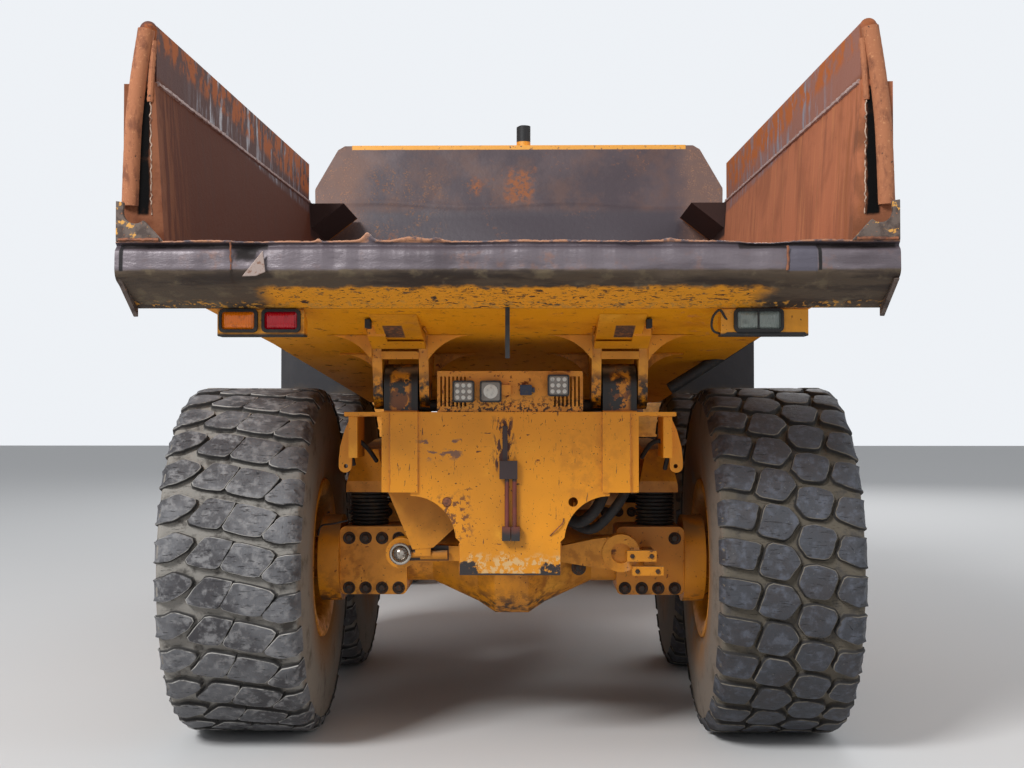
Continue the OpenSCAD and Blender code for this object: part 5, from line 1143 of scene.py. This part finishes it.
pad_bolts += [facing_rear(bolt_head(0.013, 0.009), x, -4.392, z)
              for x, z in [(0.628, 0.99), (0.728, 0.99), (0.655, 0.912), (0.76, 0.912)]]
drain = turned([(0.0, 0.0), (0.0, 0.040), (0.012, 0.038), (0.014, 0.022), (0.024, 0.020),
                (0.026, 0.0)], 24)
bore = turned([(-0.02, 0.0), (-0.02, 0.051), (0.0, 0.051), (0.004, 0.030), (0.0, 0.026),
               (0.0, 0.0)], 32)
pad_bolts += [facing_rear(drain, 0.36, -4.130, 0.90), facing_rear(bore, 0.573, -4.275, 1.0)]
mesh_piece("axle_bolts", pad_bolts, oily_bolt, "rear_frame")
ball = turned([(0.043 * math.sin(t), 0.043 * math.cos(t)) for t in np.linspace(-1.57, 1.57, 14)],
              28)
ring = turned([(-0.004, 0.040), (-0.004, 0.058), (0.010, 0.057), (0.014, 0.052),
               (0.012, 0.044)], 40, closed=True)
coat = Coat("bare_ball", tone(168, 160, 150), 0.22, 0.8)
coat.patches(0.02, 0.54, 0.68, tone(96, 80, 66), 0.5)
mesh_piece("track_rod_ball", [facing_rear(ball, -0.573, -4.362, 1.0),
                              facing_rear(ring, -0.573, -4.386, 1.0)], coat.done(), "rear_frame")

# Brake hoses and cables: black rubber hoses that hang in arcs between the frame and the axle, and
# come up to the lamps, held by clips.
hoses = [
    hose([(0.50, -4.40, 1.36), (0.44, -4.45, 1.24), (0.36, -4.43, 1.17), (0.29, -4.38, 1.20),
          (0.22, -4.32, 1.26)], 0.030, 14),
    hose([(0.62, -4.34, 1.36), (0.54, -4.40, 1.24), (0.43, -4.36, 1.13), (0.33, -4.30, 1.15),
          (0.26, -4.24, 1.22)], 0.026, 14),
    hose([(-0.47, -4.50, 1.765), (-0.2, -4.48, 1.768), (0.2, -4.50, 1.765), (0.47, -4.48, 1.768)],
         0.028, 14),
    hose([(-0.47, -4.44, 1.77), (-0.2, -4.46, 1.774), (0.2, -4.44, 1.77), (0.47, -4.46, 1.774)],
         0.026, 14),
    hose([(0.68, -4.36, 1.50), (0.72, -4.44, 1.57), (0.77, -4.46, 1.585), (0.81, -4.42, 1.53),
          (0.80, -4.36, 1.44)], 0.012),
    hose([(-0.70, -4.36, 1.48), (-0.74, -4.44, 1.55), (-0.79, -4.46, 1.59), (-0.83, -4.42, 1.56),
          (-0.82, -4.36, 1.46)], 0.012),
    hose([(-0.86, -4.30, 1.165), (-0.93, -4.31, 1.150), (-1.00, -4.28, 1.135),
          (-1.03, -4.20, 1.08)], 0.005, 8),
    hose([(-0.232, -4.635, 1.86), (-0.235, -4.60, 1.80), (-0.25, -4.58, 1.762)], 0.006, 8)]
mesh_piece("frame_hoses", hoses, frame_rubber, "rear_frame")
edge_rubber = hose([(1.335, -4.02, 2.168), (1.10, -4.02, 2.012), (0.86, -4.02, 1.862)], 0.032, 14)
mesh_piece("chute_edge_rubber", [edge_rubber], frame_rubber, "dump_body")

# Hitch, hoist and steering cylinders: castings and barrels in frame paint, and chromed rods
# that shine through a film of dust.
finish_nodes(axle_paint, "hitch_yoke", "hoist_barrels", "steer_barrel_left", "steer_barrel_right")
coat = Coat("chromed_rod", tone(196, 196, 198), 0.16, 1.0)
coat.patches(0.1, 0.55, 0.8, tone(140, 130, 116), 0.5)
finish_nodes(coat.done(), "hoist_rods", "steer_rod_left", "steer_rod_right")

# Tractor: frame, fenders, tanks, cab and hood in the same paint, less worn than the body, with
# dust on every flat top.


def tractor_paint(name, paint=(218, 142, 18), grime=0.60):
    """The tractor's paint: sound, faded, a little rusty, and dusty where it lies flat."""
    coat = worn_paint(name, paint, dirt=grime, rust=0.68, chips=0.69)
    flat = coat.facing("Z", 0.5, 0.9)
    coat.patches(0.5, 0.46, 0.74, tone(188, 146, 78), 0.8, flat, shift=6.0)
    coat.patches(0.06, 0.55, 0.72, tone(150, 122, 84), 0.9, flat, shift=2.0)
    return coat


coat = tractor_paint("low_paint", grime=0.50)
coat.patches(0.2, 0.4, 0.62, tone(110, 82, 52), 0.9, coat.along("Z", 1.1, 0.6, 0.3))
finish_nodes(coat.done(), "tractor_frame", "front_axle", "bumper", "tanks", "fenders")
coat = tractor_paint("cab_paint", (214, 142, 24))
finish_nodes(coat.done(), "cab_shell", "cab_roof", "cab_door", "hood")
coat = Coat("dark_parts", tone(44, 44, 46), 0.62)
coat.patches(0.3, 0.45, 0.7, tone(66, 62, 58), 0.8)
coat.patches(0.1, 0.3, 0.6, tone(124, 108, 88), 0.95, coat.facing("Z", 0.4, 0.8))
coat.relief(coat.noise(0.01), 0.0005)
finish_nodes(coat.done(), "engine_block", "radiator", "steps", "rails_and_mirrors", "grille",
             "cab_interior")
coat = Coat("hot_steel", tone(70, 60, 54), 0.6, 0.5)
coat.patches(0.12, 0.42, 0.62, tone(116, 72, 44), 0.85)
finish_nodes(coat.done(), "exhaust")
coat = Coat("window_glass", tone(38, 52, 54), 0.05)
coat.shader.inputs["Transmission Weight"].default_value = 0.75
coat.shader.inputs["IOR"].default_value = 1.45
coat.patches(0.3, 0.55, 0.8, tone(96, 100, 92), 0.25)
finish_nodes(coat.done(), "cab_glass", "door_glass")
coat = Coat("head_lamp", tone(206, 208, 206), 0.12)
coat.shader.inputs["Coat Weight"].default_value = 0.8
coat.patches(0.04, 0.5, 0.7, tone(160, 158, 150), 0.3)
finish_nodes(coat.done(), "tractor_lamps")

bpy.context.scene.view_settings.view_transform = "Standard"
